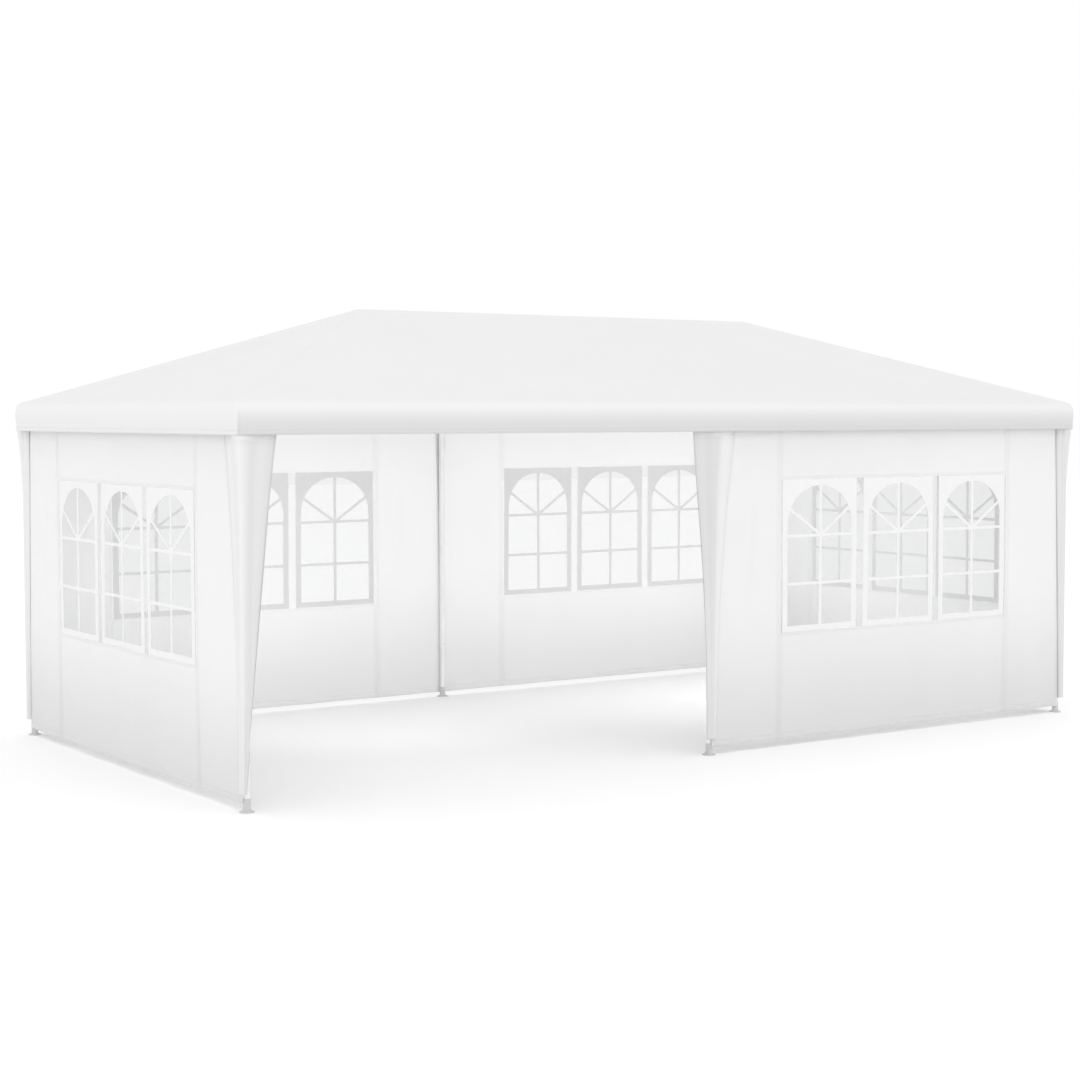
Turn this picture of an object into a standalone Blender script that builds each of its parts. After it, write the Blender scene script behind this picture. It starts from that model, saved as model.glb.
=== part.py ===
"""Marquee tent: a hip-roofed party marquee of two bays, on six legs.

A frame of steel tubes and socket fittings carries one fitted roof cover with a
rounded valance. Five wall panels with clear window sheets hang from the eaves.
The front left bay is left open as the way in. A tapering drape covers each leg.

The long side runs along X and the back is at +Y. The origin lies on the ground
at the centre of the footprint. All lengths are in metres.
"""

import math
from dataclasses import dataclass

import bmesh
import bpy
from mathutils import Vector

# Footprint and heights
LENGTH = 6.0
WIDTH = 3.0
EAVE_HEIGHT = 2.07
RIDGE_HEIGHT = 2.615
VALANCE_BOTTOM = 1.905
TOUCH_GAP = 0.0003

# Tubes and their socket fittings
TUBE_SIDES = 16
LEG_RADIUS = 0.019
LOWER_LEG_RADIUS = 0.016
LEG_STEP_HEIGHT = 0.335
LEG_STEP_SLOPE = 0.004
ROOF_TUBE_RADIUS = 0.016
SOCKET_RADIUS = 0.0205
SOCKET_REACH = 0.08
SOCKET_THINNING = 0.0004
SOCKET_STAGGER = 0.001
LEG_SOCKET_RADIUS = 0.0215
LEG_SOCKET_CROWN = 0.013

# Feet
FOOT_RADIUS = 0.04
FOOT_RIM = 0.005
FOOT_NECK_RADIUS = 0.02
FOOT_NECK_BOTTOM = 0.022
FOOT_HEIGHT = 0.07
FOOT_SOCKET_FLOOR = 0.012

# Cloth and film
CLOTH_THICKNESS = 0.003
FILM_THICKNESS = 0.002
FILM_SETBACK = 0.0005

# Walls: the inner face lies just outside the fittings
WALL_BOTTOM = 0.045
WALL_SIDE_GAP = 0.024
WINDOW_MARGIN = 0.534
WINDOW_BOTTOM = 0.69
WINDOW_TOP = 1.615

# Leg drapes: a taper that narrows quickly at first, from a wide head beside the open bay
OPEN_BAY_LEGS = ("front_left", "front_middle")
DRAPE_BOTTOM = 0.1
WIDE_DRAPE_HALF_WIDTH = 0.165
NARROW_DRAPE_HALF_WIDTH = 0.06
DRAPE_FOOT_HALF_WIDTH = 0.03
DRAPE_TAPER = 2
DRAPE_THICKNESS = 0.018
DRAPE_EDGE_THICKNESS = 0.006
DRAPE_CORNER_CUT = 0.012
DRAPE_STEPS = 6
DRAPE_VALANCE_GAP = 0.002
DRAPE_EDGE_FLARE = 0.8
DRAPE_CORNER_FLARE = 0.6

# Valance section
VALANCE_REACH = 0.072
VALANCE_SHOULDER_DROP = 0.085
VALANCE_TUCK = 0.004
VALANCE_CORNER_RADIUS = 0.03
VALANCE_CORNER_STEPS = 3
VALANCE_SHOULDER_STEPS = 4

# Sizes that follow from the ones above
HALF_LENGTH = LENGTH / 2
HALF_WIDTH = WIDTH / 2
RIDGE_HALF_LENGTH = HALF_LENGTH - HALF_WIDTH
ROOF_SLOPE = (RIDGE_HEIGHT - EAVE_HEIGHT) / HALF_WIDTH
COVER_CLEARANCE = SOCKET_RADIUS + TOUCH_GAP
COVER_RISE = COVER_CLEARANCE * math.hypot(1, ROOF_SLOPE)
WALL_INNER = COVER_CLEARANCE
WALL_OUTER = WALL_INNER + CLOTH_THICKNESS
DRAPE_INNER = WALL_OUTER + TOUCH_GAP
DRAPE_OUTER = DRAPE_INNER + DRAPE_THICKNESS
DRAPE_FLARE = VALANCE_REACH - VALANCE_TUCK - DRAPE_VALANCE_GAP - DRAPE_OUTER
ROOF_EDGE = DRAPE_OUTER + TOUCH_GAP
UP = Vector((0, 0, 1))


@dataclass(frozen=True)
class Finish:
    """Colour, roughness and metallic value of one kind of surface."""

    name: str
    color: tuple
    roughness: float
    metallic: float = 0.0
    transmission: float = 0.0


WHITE_CLOTH = Finish("white_cloth", (0.86, 0.86, 0.87), 0.6)
CLEAR_FILM = Finish("clear_film", (0.93, 0.95, 0.96), 0.12, transmission=0.9)
WHITE_TUBE = Finish("white_tube", (0.8, 0.8, 0.8), 0.35)
WHITE_FITTING = Finish("white_fitting", (0.72, 0.72, 0.72), 0.45)
GREY_FOOT = Finish("grey_foot", (0.48, 0.48, 0.49), 0.45, metallic=0.3)


@dataclass(frozen=True)
class Leg:
    """A leg: its place in the row, and the sides of the plan it stands on."""

    name: str
    side_x: int
    side_y: int

    @property
    def place(self):
        return Vector((self.side_x * HALF_LENGTH, self.side_y * HALF_WIDTH, 0))

    @property
    def head(self):
        return self.place + UP * EAVE_HEIGHT


@dataclass(frozen=True)
class Bay:
    """A bay between two legs: the middle of it on the leg axes, and its turn about Z."""

    name: str
    middle: tuple
    turn: float

    def outward(self, distance):
        """Return a point at a distance out from the leg axes, on the ground."""
        out = Vector((math.sin(self.turn), -math.cos(self.turn), 0))
        return Vector(self.middle) + out * distance


LEGS = [
    Leg(f"{row}_{place}", side_x, side_y)
    for row, side_y in (("front", -1), ("back", 1))
    for place, side_x in (("left", -1), ("middle", 0), ("right", 1))
]
WALLED_BAYS = [
    Bay("front_right", (HALF_LENGTH / 2, -HALF_WIDTH, 0), 0.0),
    Bay("right_end", (HALF_LENGTH, 0, 0), math.pi / 2),
    Bay("back_right", (HALF_LENGTH / 2, HALF_WIDTH, 0), math.pi),
    Bay("back_left", (-HALF_LENGTH / 2, HALF_WIDTH, 0), math.pi),
    Bay("left_end", (-HALF_LENGTH, 0, 0), -math.pi / 2),
]


def clear_scene():
    """Remove every object, so that the model starts from an empty scene."""
    for old in list(bpy.data.objects):
        bpy.data.objects.remove(old, do_unlink=True)


def dress(obj, finish):
    """Give an object a Principled material of its own in the named finish."""
    material = bpy.data.materials.new(f"{obj.name}_{finish.name}")
    material.use_nodes = True
    shader = material.node_tree.nodes["Principled BSDF"]
    shader.inputs["Base Color"].default_value = (*finish.color, 1)
    shader.inputs["Roughness"].default_value = finish.roughness
    shader.inputs["Metallic"].default_value = finish.metallic
    shader.inputs["Transmission Weight"].default_value = finish.transmission
    material.diffuse_color = (*finish.color, 1)
    obj.data.materials.clear()
    obj.data.materials.append(material)


def add_object(name, shape, finish, parent=None):
    """Make an object from a bmesh, with its normals facing out and its finish on."""
    bmesh.ops.recalc_face_normals(shape, faces=shape.faces)
    mesh = bpy.data.meshes.new(name)
    shape.to_mesh(mesh)
    shape.free()
    obj = bpy.data.objects.new(name, mesh)
    bpy.context.collection.objects.link(obj)
    obj.parent = parent
    dress(obj, finish)
    return obj


def round_off(obj):
    """Shade a round piece smooth and keep its rims sharp."""
    obj.data.shade_smooth()
    obj.data.set_sharp_from_angle(angle=math.radians(40))


def turned_shape(profile):
    """Turn (radius, height) points about Z; the first and last point lie on the axis."""
    shape = bmesh.new()
    points = [shape.verts.new((radius, 0, height)) for radius, height in profile]
    lines = [shape.edges.new(pair) for pair in zip(points, points[1:])]
    bmesh.ops.spin(
        shape,
        geom=points + lines,
        cent=(0, 0, 0),
        axis=(0, 0, 1),
        angle=2 * math.pi,
        steps=TUBE_SIDES,
    )
    bmesh.ops.remove_doubles(shape, verts=shape.verts, dist=1e-5)
    return shape


def rod_shape(radius, low, high):
    """Return a round bar along Z between two heights."""
    return turned_shape([(0, low), (radius, low), (radius, high), (0, high)])


def aim(obj, place, direction):
    """Put an object's origin at a place and turn its Z axis to a direction."""
    obj.location = place
    obj.rotation_mode = "QUATERNION"
    obj.rotation_quaternion = UP.rotation_difference(direction.normalized())


def tube_between(name, start, end, parent):
    """Add a roof tube whose ends butt against the sockets at two joints."""
    seat = SOCKET_REACH + TOUCH_GAP
    along = end - start
    tube = add_object(
        name, rod_shape(ROOF_TUBE_RADIUS, seat, along.length - seat), WHITE_TUBE, parent
    )
    aim(tube, start, along)
    round_off(tube)


def fitting(name, place, sockets, parent):
    """Add a tube fitting: round sockets fused at one joint.

    Each roof socket is a little thinner than the one before it and starts a little
    further out, and a leg's is thicker, so no two surfaces only just touch.
    """
    pieces = []
    for order, (direction, low) in enumerate(sockets):
        radius = SOCKET_RADIUS - order * SOCKET_THINNING
        if direction == -UP:
            radius = LEG_SOCKET_RADIUS
        socket = add_object(
            f"{name}_socket", rod_shape(radius, low, SOCKET_REACH), WHITE_FITTING
        )
        aim(socket, place, direction)
        pieces.append(socket)
    body = fuse(pieces)
    body.name = name
    body.parent = parent
    dress(body, WHITE_FITTING)
    round_off(body)


def fuse(pieces):
    """Join closed shapes into the first of them with exact Boolean unions."""
    body = pieces[0]
    for piece in pieces[1:]:
        union = body.modifiers.new(piece.name, "BOOLEAN")
        union.operation = "UNION"
        union.solver = "EXACT"
        union.object = piece
    bpy.context.view_layer.update()
    evaluated = body.evaluated_get(bpy.context.evaluated_depsgraph_get())
    fused = bpy.data.meshes.new_from_object(evaluated)
    body.modifiers.clear()
    body.data = fused
    for piece in pieces[1:]:
        bpy.data.objects.remove(piece, do_unlink=True)
    return body


def thicken(obj, thickness):
    """Give a sheet its thickness on its outer side."""
    solidify = obj.modifiers.new("thickness", "SOLIDIFY")
    solidify.thickness = thickness
    solidify.offset = 1
    solidify.use_even_offset = True


def add_leg(leg, parent):
    """Add a leg tube with the thinner lower length that stands in the foot."""
    profile = [
        (0, FOOT_SOCKET_FLOOR + TOUCH_GAP),
        (LOWER_LEG_RADIUS, FOOT_SOCKET_FLOOR + TOUCH_GAP),
        (LOWER_LEG_RADIUS, LEG_STEP_HEIGHT - LEG_STEP_SLOPE),
        (LEG_RADIUS, LEG_STEP_HEIGHT),
        (LEG_RADIUS, EAVE_HEIGHT - SOCKET_REACH - TOUCH_GAP),
        (0, EAVE_HEIGHT - SOCKET_REACH - TOUCH_GAP),
    ]
    tube = add_object(f"leg_{leg.name}", turned_shape(profile), WHITE_TUBE, parent)
    tube.location = leg.place
    round_off(tube)


def add_foot(leg, parent):
    """Add the flared foot under a leg, with the socket that takes the tube."""
    bore = LOWER_LEG_RADIUS + TOUCH_GAP
    profile = [
        (0, 0),
        (FOOT_RADIUS, 0),
        (FOOT_RADIUS, FOOT_RIM),
        (0.75 * FOOT_RADIUS, 0.45 * FOOT_NECK_BOTTOM),
        (FOOT_NECK_RADIUS, FOOT_NECK_BOTTOM),
        (FOOT_NECK_RADIUS, FOOT_HEIGHT),
        (bore, FOOT_HEIGHT),
        (bore, FOOT_SOCKET_FLOOR),
        (0, FOOT_SOCKET_FLOOR),
    ]
    foot = add_object(f"foot_{leg.name}", turned_shape(profile), GREY_FOOT, parent)
    foot.location = leg.place
    round_off(foot)


def add_frame(parent):
    """Add the legs, feet, eave tubes, rafters, ridge and their fittings."""
    heads = {leg.name: leg.head for leg in LEGS}
    ridge = {
        "left": Vector((-RIDGE_HALF_LENGTH, 0, RIDGE_HEIGHT)),
        "middle": Vector((0, 0, RIDGE_HEIGHT)),
        "right": Vector((RIDGE_HALF_LENGTH, 0, RIDGE_HEIGHT)),
    }
    tubes = {}
    for row in ("front", "back"):
        tubes[f"eave_{row}_left"] = (heads[f"{row}_left"], heads[f"{row}_middle"])
        tubes[f"eave_{row}_right"] = (heads[f"{row}_middle"], heads[f"{row}_right"])
        tubes[f"rafter_{row}"] = (heads[f"{row}_middle"], ridge["middle"])
    for end in ("left", "right"):
        tubes[f"eave_{end}_end"] = (heads[f"front_{end}"], heads[f"back_{end}"])
        tubes[f"ridge_{end}"] = (ridge["middle"], ridge[end])
        for row in ("front", "back"):
            tubes[f"hip_{row}_{end}"] = (heads[f"{row}_{end}"], ridge[end])
    for name, (start, end) in tubes.items():
        tube_between(name, start, end, parent)

    for leg in LEGS:
        add_leg(leg, parent)
        add_foot(leg, parent)
        sockets = [*sockets_at(leg.head, tubes.values()), (-UP, -LEG_SOCKET_CROWN)]
        fitting(f"fitting_{leg.name}", leg.head, sockets, parent)
    for place, joint in ridge.items():
        fitting(f"fitting_ridge_{place}", joint, sockets_at(joint, tubes.values()), parent)


def sockets_at(joint, runs):
    """Return (direction, inner end) of each socket at a joint; tubes in line share one."""
    directions = []
    for start, end in runs:
        if start == joint:
            directions.append((end - start).normalized())
        if end == joint:
            directions.append((start - end).normalized())
    sockets = []
    for direction in directions:
        if any((direction + other).length < TOUCH_GAP for other, _ in sockets):
            continue
        in_line = any((direction + other).length < TOUCH_GAP for other in directions)
        low = -SOCKET_REACH if in_line else len(sockets) * SOCKET_STAGGER
        sockets.append((direction, low))
    return sockets


def panel_shape(low, high, hole=None):
    """Return a flat upright sheet in the XZ plane, facing -Y, with a rectangular hole if one is given."""
    shape = bmesh.new()
    (left, bottom), (right, top) = low, high
    outer = [(left, bottom), (right, bottom), (right, top), (left, top)]
    rim = [shape.verts.new((x, 0, z)) for x, z in outer]
    if hole is None:
        shape.faces.new(rim)
        return shape
    (left, bottom), (right, top) = hole
    inner = [(left, bottom), (right, bottom), (right, top), (left, top)]
    edge = [shape.verts.new((x, 0, z)) for x, z in inner]
    for index in range(4):
        after = (index + 1) % 4
        shape.faces.new((rim[index], rim[after], edge[after], edge[index]))
    return shape


def add_sheet(name, shape, finish, bay, distance, thickness, parent):
    """Stand a flat sheet in a bay, with its inner face at a distance out from the legs."""
    sheet = add_object(name, shape, finish, parent)
    if sheet.data.polygons[0].normal.y > 0:
        sheet.data.flip_normals()
    thicken(sheet, thickness)
    sheet.location = bay.outward(distance)
    sheet.rotation_euler = (0, 0, bay.turn)


def add_wall(bay, parent):
    """Add a wall panel with its window opening, and the clear sheet that fills it."""
    half_bay = HALF_LENGTH / 2
    half_wall = half_bay - WALL_SIDE_GAP
    half_window = half_bay - WINDOW_MARGIN
    wall = panel_shape(
        (-half_wall, WALL_BOTTOM),
        (half_wall, EAVE_HEIGHT),
        hole=((-half_window, WINDOW_BOTTOM), (half_window, WINDOW_TOP)),
    )
    film = panel_shape(
        (-half_window + TOUCH_GAP, WINDOW_BOTTOM + TOUCH_GAP),
        (half_window - TOUCH_GAP, WINDOW_TOP - TOUCH_GAP),
    )
    add_sheet(f"wall_{bay.name}", wall, WHITE_CLOTH, bay, WALL_INNER, CLOTH_THICKNESS, parent)
    setback = WALL_INNER + FILM_SETBACK
    add_sheet(f"window_{bay.name}", film, CLEAR_FILM, bay, setback, FILM_THICKNESS, parent)


def roof_underside(distance):
    """Return the height of the cover's inner face at a distance out from the leg axes."""
    return EAVE_HEIGHT + COVER_RISE - distance * ROOF_SLOPE


def drape_half_width(leg, height):
    """Return how far a leg's drape reaches to each side of the leg at a height."""
    head = WIDE_DRAPE_HALF_WIDTH if leg.name in OPEN_BAY_LEGS else NARROW_DRAPE_HALF_WIDTH
    share = min(1, (height - DRAPE_BOTTOM) / (VALANCE_BOTTOM - DRAPE_BOTTOM))
    return DRAPE_FOOT_HALF_WIDTH + (head - DRAPE_FOOT_HALF_WIDTH) * share**DRAPE_TAPER


def middle_drape_outline(half_width, flare, side_y):
    """Return the plan of the drape on a middle leg, about the leg's axis."""
    crest = 0.3 * half_width
    inner = DRAPE_INNER
    edge = inner + DRAPE_EDGE_THICKNESS + DRAPE_EDGE_FLARE * flare
    right = [(half_width, inner), (half_width, edge), (crest, DRAPE_OUTER + flare)]
    left = [(-x, y) for x, y in reversed(right)]
    return [(x, side_y * y) for x, y in right + left]


def corner_drape_outline(half_width, flare, side_x, side_y):
    """Return the plan of the drape that wraps a corner leg, about the leg's axis."""
    inner = DRAPE_INNER
    edge = inner + DRAPE_EDGE_THICKNESS + DRAPE_EDGE_FLARE * flare
    outer = DRAPE_OUTER + flare
    cut = outer - DRAPE_CORNER_CUT - DRAPE_CORNER_FLARE * flare
    one_wing = [(-half_width, inner), (-half_width, edge), (0, outer), (cut, outer)]
    other_wing = [(y, x) for x, y in reversed(one_wing)]
    outline = one_wing + other_wing + [(inner, inner)]
    return [(side_x * x, side_y * y) for x, y in outline]


def add_drape(leg, parent):
    """Add the tapering drape round a leg, which flares at its head to meet the valance."""
    top = roof_underside(DRAPE_OUTER) - TOUCH_GAP
    drop = VALANCE_BOTTOM - DRAPE_BOTTOM
    heights = [DRAPE_BOTTOM + drop * step / (DRAPE_STEPS - 1) for step in range(DRAPE_STEPS - 1)]
    shape = bmesh.new()
    rings = []
    for height in [*heights, VALANCE_BOTTOM, top]:
        half_width = drape_half_width(leg, height)
        flare = DRAPE_FLARE if height == VALANCE_BOTTOM else 0
        if leg.side_x:
            outline = corner_drape_outline(half_width, flare, leg.side_x, leg.side_y)
        else:
            outline = middle_drape_outline(half_width, flare, leg.side_y)
        rings.append([shape.verts.new((x, y, height)) for x, y in outline])
    for lower, upper in zip(rings, rings[1:]):
        for index in range(len(lower)):
            after = (index + 1) % len(lower)
            shape.faces.new((lower[index], lower[after], upper[after], upper[index]))
    shape.faces.new(rings[0])
    shape.faces.new(rings[-1])
    drape = add_object(f"drape_{leg.name}", shape, WHITE_CLOTH, parent)
    drape.location = leg.place


def valance_section():
    """Return (distance out, height) points of the valance's inner face, below the roof edge."""
    start = Vector((ROOF_EDGE, roof_underside(ROOF_EDGE)))
    shoulder = Vector((VALANCE_REACH, roof_underside(VALANCE_REACH)))
    side = Vector((VALANCE_REACH, start.y - VALANCE_SHOULDER_DROP))
    section = []
    for step in range(1, VALANCE_SHOULDER_STEPS + 1):
        t = step / VALANCE_SHOULDER_STEPS
        point = start * (1 - t) ** 2 + shoulder * 2 * t * (1 - t) + side * t**2
        section.append(tuple(point))
    section.append((VALANCE_REACH - VALANCE_TUCK, VALANCE_BOTTOM))
    return section


def rounded_ring(distance):
    """Return the plan of the valance at a distance out, with its corners rounded."""
    centre_x = HALF_LENGTH + distance - VALANCE_CORNER_RADIUS
    centre_y = HALF_WIDTH + distance - VALANCE_CORNER_RADIUS
    corners = ((1, 1, 0), (-1, 1, 90), (-1, -1, 180), (1, -1, 270))
    ring = []
    for side_x, side_y, start in corners:
        for step in range(VALANCE_CORNER_STEPS + 1):
            angle = math.radians(start + 90 * step / VALANCE_CORNER_STEPS)
            x = side_x * centre_x + VALANCE_CORNER_RADIUS * math.cos(angle)
            y = side_y * centre_y + VALANCE_CORNER_RADIUS * math.sin(angle)
            ring.append((x, y))
    return ring


def add_roof_cover(parent):
    """Add the fitted cover: four roof slopes and the rounded valance round them."""
    shape = bmesh.new()
    top = RIDGE_HEIGHT + COVER_RISE
    ridge = [shape.verts.new((x, 0, top)) for x in (RIDGE_HALF_LENGTH, -RIDGE_HALF_LENGTH)]
    edge_x = HALF_LENGTH + ROOF_EDGE
    edge_y = HALF_WIDTH + ROOF_EDGE
    edge_plan = ((edge_x, edge_y), (-edge_x, edge_y), (-edge_x, -edge_y), (edge_x, -edge_y))
    edge = [shape.verts.new((x, y, roof_underside(ROOF_EDGE))) for x, y in edge_plan]
    shape.faces.new((ridge[0], edge[0], edge[1], ridge[1]))
    shape.faces.new((ridge[1], edge[1], edge[2]))
    shape.faces.new((ridge[1], edge[2], edge[3], ridge[0]))
    shape.faces.new((ridge[0], edge[3], edge[0]))

    rings = []
    for distance, height in valance_section():
        rings.append([shape.verts.new((x, y, height)) for x, y in rounded_ring(distance)])
    first = rings[0]
    per_corner = VALANCE_CORNER_STEPS + 1
    for corner in range(4):
        start = corner * per_corner
        for index in range(start, start + VALANCE_CORNER_STEPS):
            shape.faces.new((edge[corner], first[index], first[index + 1]))
        last = start + VALANCE_CORNER_STEPS
        following = (last + 1) % len(first)
        shape.faces.new((edge[corner], first[last], first[following], edge[(corner + 1) % 4]))
    for upper, lower in zip(rings, rings[1:]):
        for index in range(len(upper)):
            after = (index + 1) % len(upper)
            shape.faces.new((upper[index], upper[after], lower[after], lower[index]))
    cover = add_object("roof_cover", shape, WHITE_CLOTH, parent)
    if cover.data.polygons[0].normal.z < 0:
        cover.data.flip_normals()
    thicken(cover, CLOTH_THICKNESS)


def build_tent():
    """Build the whole marquee under one empty at its origin."""
    clear_scene()
    tent = bpy.data.objects.new("marquee_tent", None)
    bpy.context.collection.objects.link(tent)
    add_frame(tent)
    add_roof_cover(tent)
    for bay in WALLED_BAYS:
        add_wall(bay, tent)
    for leg in LEGS:
        add_drape(leg, tent)


build_tent()
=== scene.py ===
"""Looks of the marquee tent: its cloth, film, thread, tubes, floor, light and camera.

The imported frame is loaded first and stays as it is. All lengths are in metres, in the
frame's axes: +X to the right of the open front, +Y to the back and +Z up.
"""

import logging
import math
from collections.abc import Iterable, Sequence
from dataclasses import dataclass
from enum import Enum
from itertools import product

import bmesh
import bpy
import numpy as np
from mathutils import Matrix, Vector


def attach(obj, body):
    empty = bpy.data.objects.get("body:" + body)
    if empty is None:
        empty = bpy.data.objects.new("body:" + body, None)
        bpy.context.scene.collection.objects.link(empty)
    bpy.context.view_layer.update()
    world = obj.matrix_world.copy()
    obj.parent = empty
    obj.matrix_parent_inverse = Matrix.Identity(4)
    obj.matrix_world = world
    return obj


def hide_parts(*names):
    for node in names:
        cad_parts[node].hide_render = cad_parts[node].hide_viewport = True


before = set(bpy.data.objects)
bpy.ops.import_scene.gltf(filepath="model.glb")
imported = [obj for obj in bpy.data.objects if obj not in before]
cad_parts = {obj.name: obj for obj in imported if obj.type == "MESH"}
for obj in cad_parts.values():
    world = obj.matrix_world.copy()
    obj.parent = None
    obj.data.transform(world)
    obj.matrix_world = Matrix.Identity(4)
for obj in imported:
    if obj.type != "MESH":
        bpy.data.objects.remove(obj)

LOG = logging.getLogger("marquee_tent")
BODY = "root"

# Sizes that the solids have too
HALF_LENGTH = 3.0
HALF_WIDTH = 1.5
RIDGE_HALF_LENGTH = 1.5
EAVE_HEIGHT = 2.07
RIDGE_HEIGHT = 2.615
VALANCE_BOTTOM = 1.905
DRAPE_BOTTOM = 0.1
ROOF_SLOPE = (RIDGE_HEIGHT - EAVE_HEIGHT) / HALF_WIDTH
SLANT = math.hypot(1, ROOF_SLOPE)
TUBE_TO_CLOTH = 0.0208
CLOTH_DEPTH = 0.003
LEG_RADIUS = 0.019
ROOF_TUBE_RADIUS = 0.016

# Sizes that the sewn pieces share
EDGE = 0.0012
WELD = 1e-6
CLOTH_SHARP_DEGREES = 55

Pair = tuple[float, float]
Triple = tuple[float, float, float]
Outline = list[Pair]
Socket = bpy.types.NodeSocket


class Slot(Enum):
    """The names of the record's material slots."""

    ROOF = "roof_cloth"
    WALL = "wall_cloth"
    DRAPE = "drape_cloth"
    FILM = "window_film"
    TUBE = "frame_tube"
    FOOT = "leg_foot"


class Side(Enum):
    """A side of the tent, by its quarter turns from the front."""

    FRONT = 0
    RIGHT = 1
    BACK = 2
    LEFT = -1

    @property
    def is_long(self) -> bool:
        """Whether it is one of the two long sides."""
        return self.value % 2 == 0

    @property
    def halves(self) -> Pair:
        """Half its length, and its distance from the tent's middle."""
        return (HALF_LENGTH, HALF_WIDTH) if self.is_long else (HALF_WIDTH, HALF_LENGTH)

    @property
    def turn(self) -> float:
        """Its turn from the front, in radians."""
        return self.value * math.pi / 2


class Graph:
    """A node tree, with short calls that add a node, set it up and link it."""

    def __init__(self, tree: bpy.types.NodeTree) -> None:
        """Keep the tree that the nodes go into."""
        self.tree = tree

    def add(
        self, kind: str, inputs: dict[int | str, object] | None = None, **settings: object
    ) -> bpy.types.Node:
        """Add one node.

        Args:
            kind: The node's type name.
            inputs: A value or another node's output for each input, by name or place.
            **settings: Properties of the node itself.

        Returns:
            The new node.
        """
        node = self.tree.nodes.new(kind)
        for name, value in settings.items():
            setattr(node, name, value)
        for key, value in (inputs or {}).items():
            self.feed(node.inputs[key], value)
        return node

    def out(
        self, kind: str, inputs: dict[int | str, object] | None = None, **settings: object
    ) -> Socket:
        """Add one node, as add does, and return its first output."""
        return self.add(kind, inputs, **settings).outputs[0]

    def feed(self, socket: Socket, value: object) -> None:
        """Link a socket to an output, or give it a value.

        Args:
            socket: The input.
            value: An output socket, or the value to set.
        """
        if isinstance(value, Socket):
            self.tree.links.new(value, socket)
        else:
            socket.default_value = value

    def math(self, operation: str, *values: object) -> Socket:
        """Add a Math node and return its output."""
        return self.out("ShaderNodeMath", dict(enumerate(values)), operation=operation)


class Shader(Graph):
    """A material with one Principled shader, and the patterns that the finishes share."""

    def __init__(self, name: str) -> None:
        """Make the material.

        Args:
            name: The material's name.
        """
        self.material = bpy.data.materials.new(name)
        self.material.use_nodes = True
        super().__init__(self.material.node_tree)
        self.surface = self.tree.nodes["Principled BSDF"]

    def set(self, **values: object) -> None:
        """Set or link the Principled shader's inputs, named with underscores for spaces."""
        for name, value in values.items():
            self.feed(self.surface.inputs[name.replace("_", " ")], value)

    def tone(self) -> Socket:
        """Return the mesh's painted light and shade, a factor that is 1 where none is painted."""
        return self.add("ShaderNodeAttribute", attribute_name="tone").outputs["Fac"]

    def noise(self, scale: float, detail: float, rough: float, stretch: Triple = (1, 1, 1)) -> Socket:
        """Lay soft noise over the object.

        Args:
            scale: Its lumps to a metre.
            detail: Its layers of finer lumps.
            rough: How strong the finer lumps are.
            stretch: How much closer the lumps lie along each axis.

        Returns:
            The noise, from 0 to 1.
        """
        coordinates = self.add("ShaderNodeTexCoord").outputs["Object"]
        place = self.out("ShaderNodeMapping", {"Vector": coordinates, "Scale": stretch})
        inputs = {"Vector": place, "Scale": scale, "Detail": detail, "Roughness": rough}
        return self.out("ShaderNodeTexNoise", inputs)

    def spread(self, value: Socket, low: float, high: float) -> Socket:
        """Map 0.3 to 0.7 of a pattern onto a range from low to high."""
        return self.out("ShaderNodeMapRange", {0: value, 1: 0.3, 2: 0.7, 3: low, 4: high})

    def tinted(self, color: Triple, *factors: Socket) -> Socket:
        """Scale a colour by patterns.

        Args:
            color: The plain colour.
            *factors: The patterns, each about 1.

        Returns:
            The scaled colour.
        """
        result: object = color
        for factor in factors:
            result = self.out("ShaderNodeVectorMath", {0: result, "Scale": factor}, operation="SCALE")
        return result

    def bump(self, height: Socket, depth: float, below: Socket | None = None) -> Socket:
        """Disturb the normal by a pattern.

        Args:
            height: The pattern.
            depth: The height that its full range stands for.
            below: A normal that it builds on.

        Returns:
            The normal.
        """
        inputs = {"Height": height, "Distance": depth, "Strength": 1.0}
        if below is not None:
            inputs["Normal"] = below
        return self.out("ShaderNodeBump", inputs)


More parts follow.
